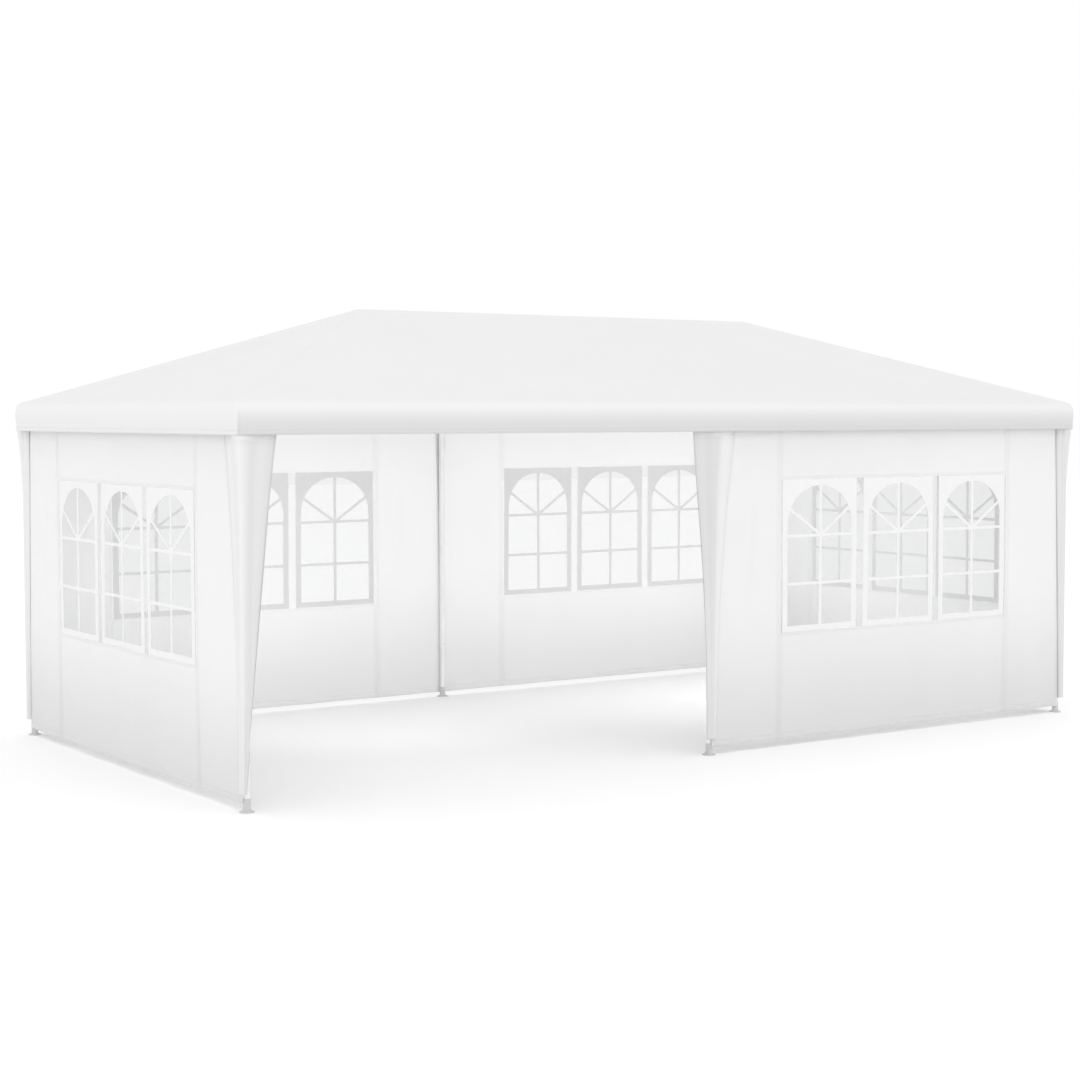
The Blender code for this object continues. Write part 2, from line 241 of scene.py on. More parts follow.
@dataclass(frozen=True)
class ClothFinish:
    """Coated cloth woven of flat tapes, with light and shade painted into its colour by each sheet's own
    tone attribute.
    """

    name: str
    color: Triple
    roughness: float = 0.5
    tape: float = 0.0028
    weave_depth: float = 0.00012
    crease_depth: float = 0.0016
    ripple_share: float = 0.22
    crease_stretch: Triple = (1.0, 1.0, 1.0)
    glow_through: float = 0.0

    def weave(self, shader: Shader) -> Socket:
        """Weave the tapes over and under in turn, along the sheet's own cut.

        Args:
            shader: The material in the making.

        Returns:
            The height of the weave, from 0 to 1.
        """
        cut = shader.out("ShaderNodeUVMap", uv_map="cut")
        ways = shader.add("ShaderNodeSeparateXYZ", {0: cut}).outputs[:2]
        turns = [shader.math("MULTIPLY", way, math.pi / self.tape) for way in ways]
        warp, weft = [shader.math("ABSOLUTE", shader.math("SINE", turn)) for turn in turns]
        checks = shader.add("ShaderNodeTexChecker", {"Vector": cut, "Scale": 1 / self.tape}).outputs[1]
        return shader.out("ShaderNodeMix", {0: checks, 2: warp, 3: weft}, data_type="FLOAT")

    def material(self) -> bpy.types.Material:
        """Make the cloth material.

        Returns:
            The material.
        """
        shader = Shader(self.name)
        weave = self.weave(shader)
        creases = shader.noise(5.5, 2.5, 0.55, self.crease_stretch)
        ripples = shader.noise(17, 3, 0.5)
        mottle = shader.noise(1.7, 4, 0.6)
        normal = shader.bump(creases, self.crease_depth)
        normal = shader.bump(ripples, self.crease_depth * self.ripple_share, normal)
        normal = shader.bump(weave, self.weave_depth, normal)
        patches, rows = shader.spread(mottle, 0.992, 1.006), shader.spread(weave, 0.994, 1.004)
        # The base colour is scaled by the sheet's painted light and shade, and by random patches and weave
        # rows.
        shader.set(Base_Color=shader.tinted(self.color, shader.tone(), patches, rows), Normal=normal)
        shader.set(Roughness=shader.spread(ripples, self.roughness - 0.05, self.roughness + 0.07))
        shader.set(Sheen_Weight=0.06, Sheen_Roughness=0.5, Specular_IOR_Level=0.35)
        shader.set(Subsurface_Weight=self.glow_through)
        shader.set(Subsurface_Radius=(1, 1, 1), Subsurface_Scale=0.004)
        return shader.material


@dataclass(frozen=True)
class FilmFinish:
    """Clear soft film with a faint haze and small waves."""

    name: str
    color: Triple
    haze: float
    wave_depth: float = 0.004

    def material(self) -> bpy.types.Material:
        """Make the film material.

        Returns:
            The material.
        """
        shader = Shader(self.name)
        waves = shader.noise(6, 2, 0.5, (1.0, 1.0, 0.45))
        scuffs = shader.noise(60, 4, 0.7, (1.0, 1.0, 3.0))
        shader.set(Base_Color=(*self.color, 1), Normal=shader.bump(waves, self.wave_depth))
        shader.set(Roughness=shader.spread(scuffs, 0.05, 0.16), Specular_IOR_Level=0.4)
        shader.set(Alpha=shader.spread(scuffs, self.haze * 0.9, self.haze * 1.1))
        return shader.material


@dataclass(frozen=True)
class CoatFinish:
    """Paint, powder coat, thread or moulded plastic with a fine grain and faint patches."""

    name: str
    color: Triple
    roughness: float = 0.4
    metallic: float = 0.0
    grain: float = 900
    grain_depth: float = 0.00008
    patches: float = 0.03

    def material(self) -> bpy.types.Material:
        """Make the coat material.

        Returns:
            The material.
        """
        shader = Shader(self.name)
        grain = shader.noise(self.grain, 2, 0.5)
        patches = shader.noise(22, 5, 0.65, (1.0, 1.0, 0.5))
        rubbed = shader.noise(90, 5, 0.7, (3.0, 3.0, 0.4))
        shade = shader.spread(patches, 1 - self.patches, 1 + self.patches)
        color = shader.tinted(self.color, shade, shader.spread(rubbed, 0.985, 1.01))
        shader.set(Base_Color=color, Metallic=self.metallic, Normal=shader.bump(grain, self.grain_depth))
        shader.set(Roughness=shader.spread(rubbed, self.roughness - 0.05, self.roughness + 0.1))
        return shader.material


@dataclass(frozen=True)
class PrintFinish:
    """White ink on clear film, with painted shade on its reverse, which the mesh marks with its tone."""

    name: str
    color: Triple

    def material(self) -> bpy.types.Material:
        """Make the ink material.

        Returns:
            The material.
        """
        shader = Shader(self.name)
        patches = shader.noise(22, 5, 0.65, (1.0, 1.0, 0.5))
        grain = shader.noise(500, 2, 0.5)
        # The base colour carries the painted shade on the print's reverse.
        color = shader.tinted(self.color, shader.tone(), shader.spread(patches, 0.985, 1.01))
        shader.set(Base_Color=color, Normal=shader.bump(grain, 0.00004))
        shader.set(Roughness=shader.spread(patches, 0.45, 0.6))
        return shader.material


@dataclass(frozen=True)
class Finishes:
    """Every finish of the tent, made once."""

    roof: bpy.types.Material
    wall: bpy.types.Material
    drape: bpy.types.Material
    film: bpy.types.Material
    ink: bpy.types.Material
    thread: bpy.types.Material
    webbing: bpy.types.Material
    tube: bpy.types.Material
    fitting: bpy.types.Material
    foot: bpy.types.Material
    button: bpy.types.Material

    @classmethod
    def make(cls) -> "Finishes":
        """Make every material.

        Returns:
            The finishes of this tent.
        """
        white = (0.85, 0.85, 0.852)
        finishes = {
            "roof": ClothFinish("roof_cloth", (0.84, 0.84, 0.842), crease_depth=0.0012),
            "wall": ClothFinish("wall_cloth", white, crease_stretch=(1, 1, 0.5), glow_through=0.9),
            "drape": ClothFinish("drape_cloth", white, 0.55, crease_stretch=(1.6, 1.6, 0.3)),
            "film": FilmFinish("window_film", (0.45, 0.46, 0.465), 0.12),
            "ink": PrintFinish("white_print", (0.875, 0.875, 0.875)),
            "thread": CoatFinish("thread", (0.78, 0.78, 0.78), 0.7, grain=2500),
            "webbing": CoatFinish("webbing", (0.8, 0.8, 0.8), 0.75, grain=1200, grain_depth=0.0003),
            "tube": CoatFinish("powder_coat", (0.9, 0.9, 0.905), 0.32),
            "fitting": CoatFinish("fitting_coat", (0.74, 0.74, 0.745), grain=600),
            "foot": CoatFinish(
                "foot_coat", (0.62, 0.62, 0.625), 0.42, grain=400, grain_depth=0.00012, patches=0.04
            ),
            "button": CoatFinish("button_steel", (0.6, 0.6, 0.61), 0.25, metallic=0.9, patches=0.05),
        }
        return cls(**{name: finish.material() for name, finish in finishes.items()})


def final_mesh(obj: bpy.types.Object) -> bpy.types.Mesh:
    """Work out what an object's modifiers, or a curve's fill, make of it.

    Args:
        obj: The object, at the origin.

    Returns:
        A new, plain mesh.
    """
    bpy.context.view_layer.update()
    evaluated = obj.evaluated_get(bpy.context.evaluated_depsgraph_get())
    return bpy.data.meshes.new_from_object(evaluated)


def bake(obj: bpy.types.Object) -> bpy.types.Object:
    """Turn an object and its modifiers into a plain mesh.

    Args:
        obj: The object, at the origin.

    Returns:
        The same object, with no modifier.
    """
    mesh = final_mesh(obj)
    obj.modifiers.clear()
    obj.data = mesh
    mesh.name = obj.name
    return obj


def thicken(obj: bpy.types.Object, thickness: float) -> bpy.types.Object:
    """Give an open sheet its thickness, inwards from its outer face.

    Args:
        obj: The sheet.
        thickness: Its thickness.

    Returns:
        The same object, as a plain closed mesh.
    """
    solidify = obj.modifiers.new("thickness", "SOLIDIFY")
    solidify.thickness = thickness
    solidify.offset = -1
    return bake(obj)


def smooth(mesh: bpy.types.Mesh, sharp_degrees: float) -> None:
    """Shade a mesh smoothly, apart from its edges that are sharper than an angle."""
    mesh.shade_smooth()
    mesh.set_sharp_from_angle(angle=math.radians(sharp_degrees))


def named_mesh(shape: bmesh.types.BMesh, name: str) -> bpy.types.Mesh:
    """Turn a finished bmesh into a mesh.

    Args:
        shape: The bmesh, which is freed.
        name: The mesh's name.

    Returns:
        The mesh.
    """
    mesh = bpy.data.meshes.new(name)
    shape.to_mesh(mesh)
    shape.free()
    return mesh


def add_object(name: str, data: bpy.types.ID) -> bpy.types.Object:
    """Link a new object at the origin.

    Args:
        name: Its name.
        data: Its mesh, curve, lamp or camera.

    Returns:
        The object.
    """
    obj = bpy.data.objects.new(name, data)
    bpy.context.scene.collection.objects.link(obj)
    return obj


def dress(
    obj: bpy.types.Object, finish: bpy.types.Material, slot: Slot, *replaced: str
) -> bpy.types.Object:
    """Give a finished piece its material and body, and hide the CAD solids it stands for.

    Args:
        obj: The piece.
        finish: Its material.
        slot: The record's slot, which is not used.
        *replaced: The CAD nodes that it stands for.

    Returns:
        The piece.
    """
    obj.data.materials.clear()
    obj.data.materials.append(finish)
    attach(obj, BODY)
    if replaced:
        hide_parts(*replaced)
    LOG.info("%s: %d faces", obj.name, len(obj.data.polygons))
    return obj


def ease(value: np.ndarray | float, low: float, high: float) -> np.ndarray:
    """Rise smoothly from 0 at low to 1 at high."""
    share = np.clip((np.asarray(value, float) - low) / (high - low), 0, 1)
    return share * share * (3 - 2 * share)


def fall(value: np.ndarray | float, low: float, high: float) -> np.ndarray:
    """Fall smoothly from 1 at low to 0 at high."""
    return 1 - ease(value, low, high)


def band(value: np.ndarray | float, low: float, high: float, edge: float = EDGE) -> np.ndarray:
    """Return 1 inside a strip and 0 outside it, with narrow slopes inside its edges."""
    return ease(value, low, low + edge) * fall(value, high - edge, high)


def bell(value: np.ndarray, middle: np.ndarray | float, width: float) -> np.ndarray:
    """Return 1 at the middle and nearly 0 two widths away from it."""
    return np.exp(-(((value - middle) / width) ** 2))


def spaced(low: float, high: float, step: float, *stops: float, edge: float = EDGE) -> np.ndarray:
    """Space grid lines from low to high, with close lines round each stop.

    Args:
        low: The first line.
        high: The last line.
        step: The widest spacing.
        *stops: Lines where a band starts or ends.
        edge: How far from a stop its close lines are.

    Returns:
        The lines in order.
    """
    close = (stop + aside for stop in stops for aside in (-edge, 0.0, edge))
    marks = sorted({low, high, *(line for line in close if low < line < high)})
    lines: list[float] = []
    for first, last in zip(marks, marks[1:]):
        count = max(1, math.ceil((last - first) / step - 1e-6))
        lines.extend(np.linspace(first, last, count, endpoint=False))
    return np.array([*lines, high])


def grid_cells(rows: int, columns: int) -> np.ndarray:
    """Join the points of a grid into cells, each told by its four corners."""
    index = np.arange(rows * columns).reshape(rows, columns)
    return np.stack([index[:-1, :-1], index[:-1, 1:], index[1:, 1:], index[1:, :-1]], -1)


@dataclass
class SheetGrid:
    """The outer face of a sheet as a grid, with columns to the right and rows upwards.

    Attributes:
        name: The piece's name.
        points: Rows by columns by 3.
        cut: Rows by columns by 2, each point's place on the flat cloth.
        tone: Rows by columns, the painted light and shade, 1 where none is painted.
        kept: Which cells are cloth, or None for all.
    """

    name: str
    points: np.ndarray
    cut: np.ndarray
    tone: np.ndarray
    kept: np.ndarray | None = None

    def make(self, thickness: float) -> bpy.types.Object:
        """Build the sheet, thickened inwards.

        Args:
            thickness: The cloth's thickness.

        Returns:
            The sheet's object.
        """
        cells = grid_cells(*self.tone.shape)
        faces = cells[self.kept] if self.kept is not None else cells.reshape(-1, 4)
        used, faces = np.unique(faces, return_inverse=True)
        faces = faces.reshape(-1, 4)
        mesh = bpy.data.meshes.new(self.name)
        mesh.from_pydata(self.points.reshape(-1, 3)[used].tolist(), [], faces.tolist())
        uv = mesh.uv_layers.new(name="cut")
        uv.data.foreach_set("uv", self.cut.reshape(-1, 2)[used][faces.ravel()].ravel())
        # The painted light and shade go on the mesh as a point attribute.
        tone = mesh.attributes.new("tone", "FLOAT", "POINT")
        tone.data.foreach_set("value", self.tone.ravel()[used])
        shape = bmesh.new()
        shape.from_mesh(mesh)
        bmesh.ops.remove_doubles(shape, verts=shape.verts, dist=WELD)
        shape.to_mesh(mesh)
        shape.free()
        obj = thicken(add_object(self.name, mesh), thickness)
        smooth(obj.data, CLOTH_SHARP_DEGREES)
        return obj


class Repeater:
    """A Geometry Nodes tree that sets one small shape at every point that it is given."""

    def __init__(self, name: str, **sizes: float) -> None:
        """Start the tree.

        Args:
            name: The tree's name.
            **sizes: Its inputs and their values.
        """
        self.tree = bpy.data.node_groups.new(name, "GeometryNodeTree")
        face = self.tree.interface
        for way in ("INPUT", "OUTPUT"):
            face.new_socket("Geometry", in_out=way, socket_type="NodeSocketGeometry")
        for size, value in sizes.items():
            socket = face.new_socket(size, in_out="INPUT", socket_type="NodeSocketFloat")
            socket.default_value = value
        self.graph = Graph(self.tree)
        self.given = self.graph.add("NodeGroupInput").outputs

    def end(
        self,
        points: Socket,
        shape: Socket,
        finish: bpy.types.Material,
        is_smooth: bool,
        **placing: Socket,
    ) -> None:
        """Set the shape at the points, and end the tree.

        Args:
            points: Where the shape goes.
            shape: The shape.
            finish: Its material.
            is_smooth: Whether it is shaded smoothly.
            **placing: Its rotation and scale at each point.
        """
        inputs = {"Points": points, "Instance": shape, **placing}
        placed = self.graph.out("GeometryNodeInstanceOnPoints", inputs)
        real = self.graph.out("GeometryNodeRealizeInstances", {0: placed})
        if is_smooth:
            real = self.graph.out("GeometryNodeSetShadeSmooth", {0: real})
        coated = self.graph.out("GeometryNodeSetMaterial", {0: real, "Material": finish})
        self.graph.add("NodeGroupOutput", {0: coated})

    def lay(
        self, name: str, places: Sequence[Triple], edges: Sequence[tuple[int, int]] = ()
    ) -> bpy.types.Object:
        """Run the tree over points or lines.

        Args:
            name: The piece's name.
            places: The points.
            edges: The pairs of points that lines join.

        Returns:
            All the shapes, as one plain piece.
        """
        mesh = bpy.data.meshes.new(name)
        mesh.from_pydata(places, edges, [])
        obj = add_object(name, mesh)
        modifier = obj.modifiers.new("repeat", "NODES")
        modifier.node_group = self.tree
        return bake(obj)


class StitchRows(Repeater):
    """Rows of stitches along given lines."""

    def __init__(self, thread: bpy.types.Material) -> None:
        """Make the tree: one small bead of thread at each step along a line.

        Args:
            thread: The thread's material.
        """
        super().__init__("stitch_rows", Pitch=0.012, Length=0.00744, Thickness=0.0011)
        graph, given = self.graph, self.given
        curve = graph.out("GeometryNodeMeshToCurve", {0: given["Geometry"]})
        steps = {0: curve, "Length": given["Pitch"]}
        points = graph.out("GeometryNodeResampleCurve", steps, mode="LENGTH")
        tangent = graph.out("GeometryNodeInputTangent")
        turned = graph.out("FunctionNodeAlignRotationToVector", {"Vector": tangent}, axis="X")
        bead = graph.out("GeometryNodeMeshUVSphere", {"Segments": 5, "Rings": 3, "Radius": 0.5})
        sizes = {0: given["Length"], 1: given["Thickness"], 2: given["Thickness"]}
        size = graph.out("ShaderNodeCombineXYZ", sizes)
        self.end(points, bead, thread, True, Rotation=turned, Scale=size)
        self.thread = thread

    def sew(self, name: str, lines: Iterable[np.ndarray], slot: Slot) -> bpy.types.Object:
        """Lay stitches along lines.

        Args:
            name: The piece's name.
            lines: The points of each line, in order.
            slot: The record's slot.

        Returns:
            The stitches, as one piece.
        """
        places: list[Triple] = []
        edges: list[tuple[int, int]] = []
        for line in lines:
            first = len(places)
            places.extend(map(tuple, np.asarray(line, float)))
            edges.extend((i, i + 1) for i in range(first, len(places) - 1))
        return dress(self.lay(name, places, edges), self.thread, slot)


@dataclass
class RoofCover:
    """The fitted cover: four slopes and the rounded valance, as one sewn sheet."""

    thickness: float = 0.0016
    edge: float = 0.0424
    reach: float = 0.072
    shoulder_drop: float = 0.085
    shoulder_steps: int = 8
    tuck: float = 0.004
    tuck_from: float = 1.99
    tuck_run: float = 0.09
    step: float = 0.045
    valance_step: float = 0.02
    hem: float = 0.026
    hem_proud: float = 0.0009
    hip_round: float = 0.015
    ridge_round: float = 0.006
    corner_round: float = 0.033
    corner_steps: int = 4
    sag: float = 0.012
    hip_pull: float = 0.3
    tube_pull: float = 0.35
    hip_stitch: float = 0.016
    hip_stitch_proud: float = 0.0002
    hem_stitch_proud: float = 0.0012
    stitch_steps: int = 40
    # Painted light and shade in the cover's colour: the share of the painted shade on the ends and at the
    # corners, darker lines beside the corners, a painted highlight on the shoulder, and painted shade on
    # the shoulder, down the valance and along its hem.
    end_share: float = 0.25
    corner_share: float = 0.6
    corner_shade: float = 0.03
    painted_shoulder_highlight: float = 0.02
    shoulder_shade: float = 0.07
    valance_shade: float = 0.13
    hem_shade: float = 0.1

    def height_at(self, distance: np.ndarray | float) -> np.ndarray | float:
        """Return the height of the outer face at a distance out from the leg axes."""
        return EAVE_HEIGHT + TUBE_TO_CLOTH * SLANT + CLOTH_DEPTH * SLANT - distance * ROOF_SLOPE

    def section(self) -> list[Triple]:
        """Cut through the cover, from its hem over the shoulder to the ridge.

        Returns:
            The distance out, height and corner radius of each ring.
        """
        start = np.array((self.edge, self.height_at(self.edge)))
        knee = np.array((self.reach + CLOTH_DEPTH, self.height_at(self.reach)))
        side = np.array((self.reach + CLOTH_DEPTH, start[1] - self.shoulder_drop))
        hem_top = VALANCE_BOTTOM + self.hem
        rings = []
        for height in spaced(VALANCE_BOTTOM, side[1], self.valance_step, hem_top):
            share = (side[1] - height) / (side[1] - VALANCE_BOTTOM)
            proud = self.hem_proud * float(band(height, VALANCE_BOTTOM - 0.01, hem_top))
            rings.append((side[0] - self.tuck * share + proud, height, self.corner_round))
        for t in np.linspace(0, 1, self.shoulder_steps + 1)[1:]:
            distance, height = side * (1 - t) ** 2 + knee * 2 * t * (1 - t) + start * t**2
            rings.append((distance, height, self.corner_round + (self.hip_round - self.corner_round) * t))
        near_ridge = (-HALF_WIDTH + 0.012, -HALF_WIDTH + 0.035)
        slope = spaced(-HALF_WIDTH, self.edge, self.step, *near_ridge, edge=self.ridge_round)
        for distance in slope[-2::-1]:
            away = distance + HALF_WIDTH
            drop = ROOF_SLOPE * (math.hypot(away, self.ridge_round) - away)
            rings.append((distance, self.height_at(distance) - drop, min(self.hip_round, away * 0.5)))
        return rings

    def ring_side(
        self, side: Side, distance: float, radius: float, count: int
    ) -> tuple[np.ndarray, np.ndarray, np.ndarray]:
        """Follow one side of a ring from its left corner to its right one.

        Args:
            side: The side.
            distance: The ring's distance out from the leg axes.
            radius: Its corners' radius.
            count: The cells in the straight part.

        Returns:
            The places along the side, and the points' x and y.
        """
        half, other = (length + distance for length in side.halves)
        corner = np.linspace(1, 0, self.corner_steps + 1)[:-1] * math.pi / 4
        corner_along = half - radius + radius * np.sin(corner)
        corner_out = other - radius + radius * np.cos(corner)
        straight = np.linspace(-(half - radius), half - radius, count + 1)
        along = np.concatenate([-corner_along, straight, corner_along[::-1]])
        out = np.concatenate([corner_out, np.full(count + 1, other), corner_out[::-1]])
        x = along * math.cos(side.turn) + out * math.sin(side.turn)
        y = along * math.sin(side.turn) - out * math.cos(side.turn)
        return along, x, y

    def hang(self, x: np.ndarray, y: np.ndarray) -> np.ndarray:
        """Let the cloth sag between the tubes.

        Args:
            x: Places along the tent.
            y: Places across it.

        Returns:
            The sag, straight down.
        """
        x, y = np.abs(x), np.abs(y)
        far = 9.0
        on_long_side = x < RIDGE_HALF_LENGTH + y
        gaps = (
            (np.abs(HALF_LENGTH - HALF_WIDTH + y - x) / math.sqrt(2), self.hip_pull),
            (np.where(on_long_side, HALF_WIDTH - y, HALF_LENGTH - x), self.tube_pull),
            (np.where(on_long_side, x, far), self.tube_pull),
            (np.where(on_long_side, y, far), self.tube_pull),
        )
        free = np.ones_like(x)
        for gap, width in gaps:
            free = free * (1 - bell(np.clip(gap, 0, None), 0, width))
        return self.sag * free

    def toned(self, side: Side, heights: np.ndarray) -> np.ndarray:
        """Paint light and shade into one side's tone: plain slopes, a painted highlight on the shoulder,
        and painted shade on the shoulder, down the valance and along its hem.

        Args:
            side: The side.
            heights: The points' heights.

        Returns:
            The tone.
        """
        share = np.full(heights.shape[1], 1.0 if side.is_long else self.end_share)
        share[[0, -1]] = self.corner_share
        corner = np.zeros_like(share)
        corner[[1, 2, -3, -2]] = self.corner_shade if side.is_long else 0.0
        # A painted highlight on the shoulder; painted shade on the shoulder, down the valance and along
        # its hem.
        painted_highlight = self.painted_shoulder_highlight * fall(heights, 2.055, 2.085)
        shoulder = self.shoulder_shade * fall(heights, 2.0, 2.06)
        valance = self.valance_shade * fall(heights, 1.94, 2.04)
        line = self.hem_shade * fall(heights, VALANCE_BOTTOM + 0.002, VALANCE_BOTTOM + 0.009)
        return 1 + painted_highlight - (shoulder + valance + line) * share - corner * fall(heights, 2.03, 2.06)

    def grid(self) -> SheetGrid:
        """Lay out the whole cover as one grid, with the four sides next to one another.

        Returns:
            The grid.
        """
        rings = self.section()
        steps = [math.hypot(d2 - d1, z2 - z1) for (d1, z1, _), (d2, z2, _) in zip(rings, rings[1:])]
        down = np.cumsum([0.0, *steps])
        heights = np.array([height for _, height, _ in rings])
        points, cuts, painted_tones, kept = [], [], [], []
        for side in Side:
            count = round(2 * side.halves[0] / self.step)
            sides = [self.ring_side(side, distance, radius, count) for distance, _, radius in rings]
            along, x, y = np.array(sides).swapaxes(0, 1)
            z = np.repeat(heights[:, None], along.shape[1], 1)
            z = z - np.where(z > EAVE_HEIGHT + 0.015, self.hang(x, y), 0)
            points.append(np.stack([x, y, z], -1))
            cuts.append(np.stack([along, np.broadcast_to(down[:, None], along.shape)], -1))
            painted_tones.append(self.toned(side, z))
            cells = np.ones((len(rings) - 1, along.shape[1]), bool)
            cells[:, -1] = False
            kept.append(cells)
        joined = [np.concatenate(blocks, 1) for blocks in (points, cuts, painted_tones, kept)]
        return SheetGrid("roof_cover_cloth", *joined[:3], joined[3][:, :-1])

    def seam_lines(self) -> list[np.ndarray]:
        """Lay out the stitch lines: two round the hem, and two on each hip.

        Returns:
            The points of each line.
        """
        lines = []
        for height in (VALANCE_BOTTOM + 0.004, VALANCE_BOTTOM + self.hem - 0.003):
            tucked = self.tuck * (self.tuck_from - height) / self.tuck_run
            distance = self.reach + CLOTH_DEPTH - tucked + self.hem_stitch_proud
            ring = []
            for side in Side:
                _, x, y = self.ring_side(side, distance, self.corner_round, self.stitch_steps)
                ring.append(np.stack([x, y, np.full_like(x, height)], -1))
            lines.append(np.concatenate([*ring, ring[0][:1]]))
        away = np.linspace(0.1, HALF_WIDTH + 0.02, self.stitch_steps)
        for side_x, side_y, aside in product((-1, 1), (-1, 1), (-self.hip_stitch, self.hip_stitch)):
            x = (RIDGE_HALF_LENGTH + away) * side_x + aside * 0.7 * side_x
            y = away * side_y - aside * 0.7 * side_y
            reach = np.maximum(np.abs(x) - HALF_LENGTH, np.abs(y) - HALF_WIDTH)
            z = self.height_at(reach) - self.hang(x, y) + self.hip_stitch_proud
            lines.append(np.stack([x, y, z], -1))
        return lines

    def build(self, finishes: Finishes, stitches: StitchRows) -> None:
        """Make the cover and its stitches.

        Args:
            finishes: The tent's finishes.
            stitches: The stitch maker.
        """
        cover = dress(self.grid().make(self.thickness), finishes.roof, Slot.ROOF, "roof_cover")
        thread = stitches.sew("roof_cover_stitches", self.seam_lines(), Slot.ROOF)


@dataclass
class PrintedFrame:
    """One arched window frame of the print: a rectangle with its panes left clear.

    Heights are measured down from the frame's top.
    """

    width: float
    height: float
    border: float = 0.04
    top_border: float = 0.036
    foot_border: float = 0.036
    bar: float = 0.018
    mullion: float = 0.022
    spring_share: float = 0.292
    first_bar_share: float = 0.37
    second_bar_share: float = 0.685
    ray_angle: float = math.radians(34)
    arc_steps: int = 16

    def cropped(self, outline: Outline, anchor: Pair, normal: Pair) -> Outline:
        """Cut a convex outline along a line.

        Args:
            outline: The outline's points in order.
            anchor: A point on the line.
            normal: The side that is kept.

        Returns:
            The outline that is left.
        """
        sides = [(x - anchor[0]) * normal[0] + (y - anchor[1]) * normal[1] for x, y in outline]
        left = []
        for index, (point, side) in enumerate(zip(outline, sides)):
            after, far = outline[(index + 1) % len(outline)], sides[(index + 1) % len(outline)]
            if side >= 0:
                left.append(point)
            if side * far < 0:
                share = side / (side - far)
                left.append(tuple(a + (b - a) * share for a, b in zip(point, after)))
        return left

    def panes(self) -> list[Outline]:
        """Draw the panes: two square ones below, and an arch that a slanting bar parts.

        Returns:
            The outline of each pane, about the frame's middle and top.
        """
        half = self.width / 2 - self.border
        inner, half_bar = self.mullion / 2, self.bar / 2
        first, second = self.height * self.first_bar_share, self.height * self.second_bar_share
        foot = self.height - self.foot_border
        rise = self.height * self.spring_share - self.top_border
        spring = -self.height * self.spring_share
        panes = []
        for low, high in ((first + half_bar, second - half_bar), (second + half_bar, foot)):
            panes.append([(inner, -low), (inner, -high), (half, -high), (half, -low)])
        arc = [
            (half * math.cos(angle), spring + rise * math.sin(angle))
            for angle in np.linspace(0, math.pi / 2, self.arc_steps)
        ]
        base = -(first - half_bar)
        arch = self.cropped([(inner, base), (half, base), *arc, (0.0, spring + rise)], (inner, 0), (1, 0))
        across = (-math.sin(self.ray_angle), math.cos(self.ray_angle))
        for side in (1, -1):
            edge = (across[0] * side * half_bar, -first + across[1] * side * half_bar)
            panes.append(self.cropped(arch, edge, (across[0] * side, across[1] * side)))
        return panes + [[(-x, y) for x, y in reversed(pane)] for pane in panes]

    def flat_shape(self) -> bpy.types.Mesh:
        """Make the print as a flat face in the XY plane, with its panes cut out.

        Returns:
            The face's mesh.
        """
        curve = bpy.data.curves.new("printed_frame", "CURVE")
        curve.dimensions = "2D"
        curve.fill_mode = "BOTH"
        half = self.width / 2
        rim = [(-half, 0), (half, 0), (half, -self.height), (-half, -self.height)]
        for outline in (rim, *self.panes()):
            line = curve.splines.new("POLY")
            line.points.add(len(outline) - 1)
            line.use_cyclic_u = True
            for point, (x, y) in zip(line.points, outline):
                point.co = (x, y, 0, 1)
        holder = add_object("printed_frame", curve)
        mesh = final_mesh(holder)
        bpy.data.objects.remove(holder)
        return mesh


@dataclass(frozen=True)
class Taper:
    """How a drape's wing widens from its foot to its head."""

    foot: float
    head: float
    power: float

    def at(self, z: np.ndarray) -> np.ndarray:
        """Return the wing's reach past the leg's axis at a height."""
        share = np.clip((z - DRAPE_BOTTOM) / (VALANCE_BOTTOM - DRAPE_BOTTOM), 0, 1)
        return self.foot + (self.head - self.foot) * share**self.power


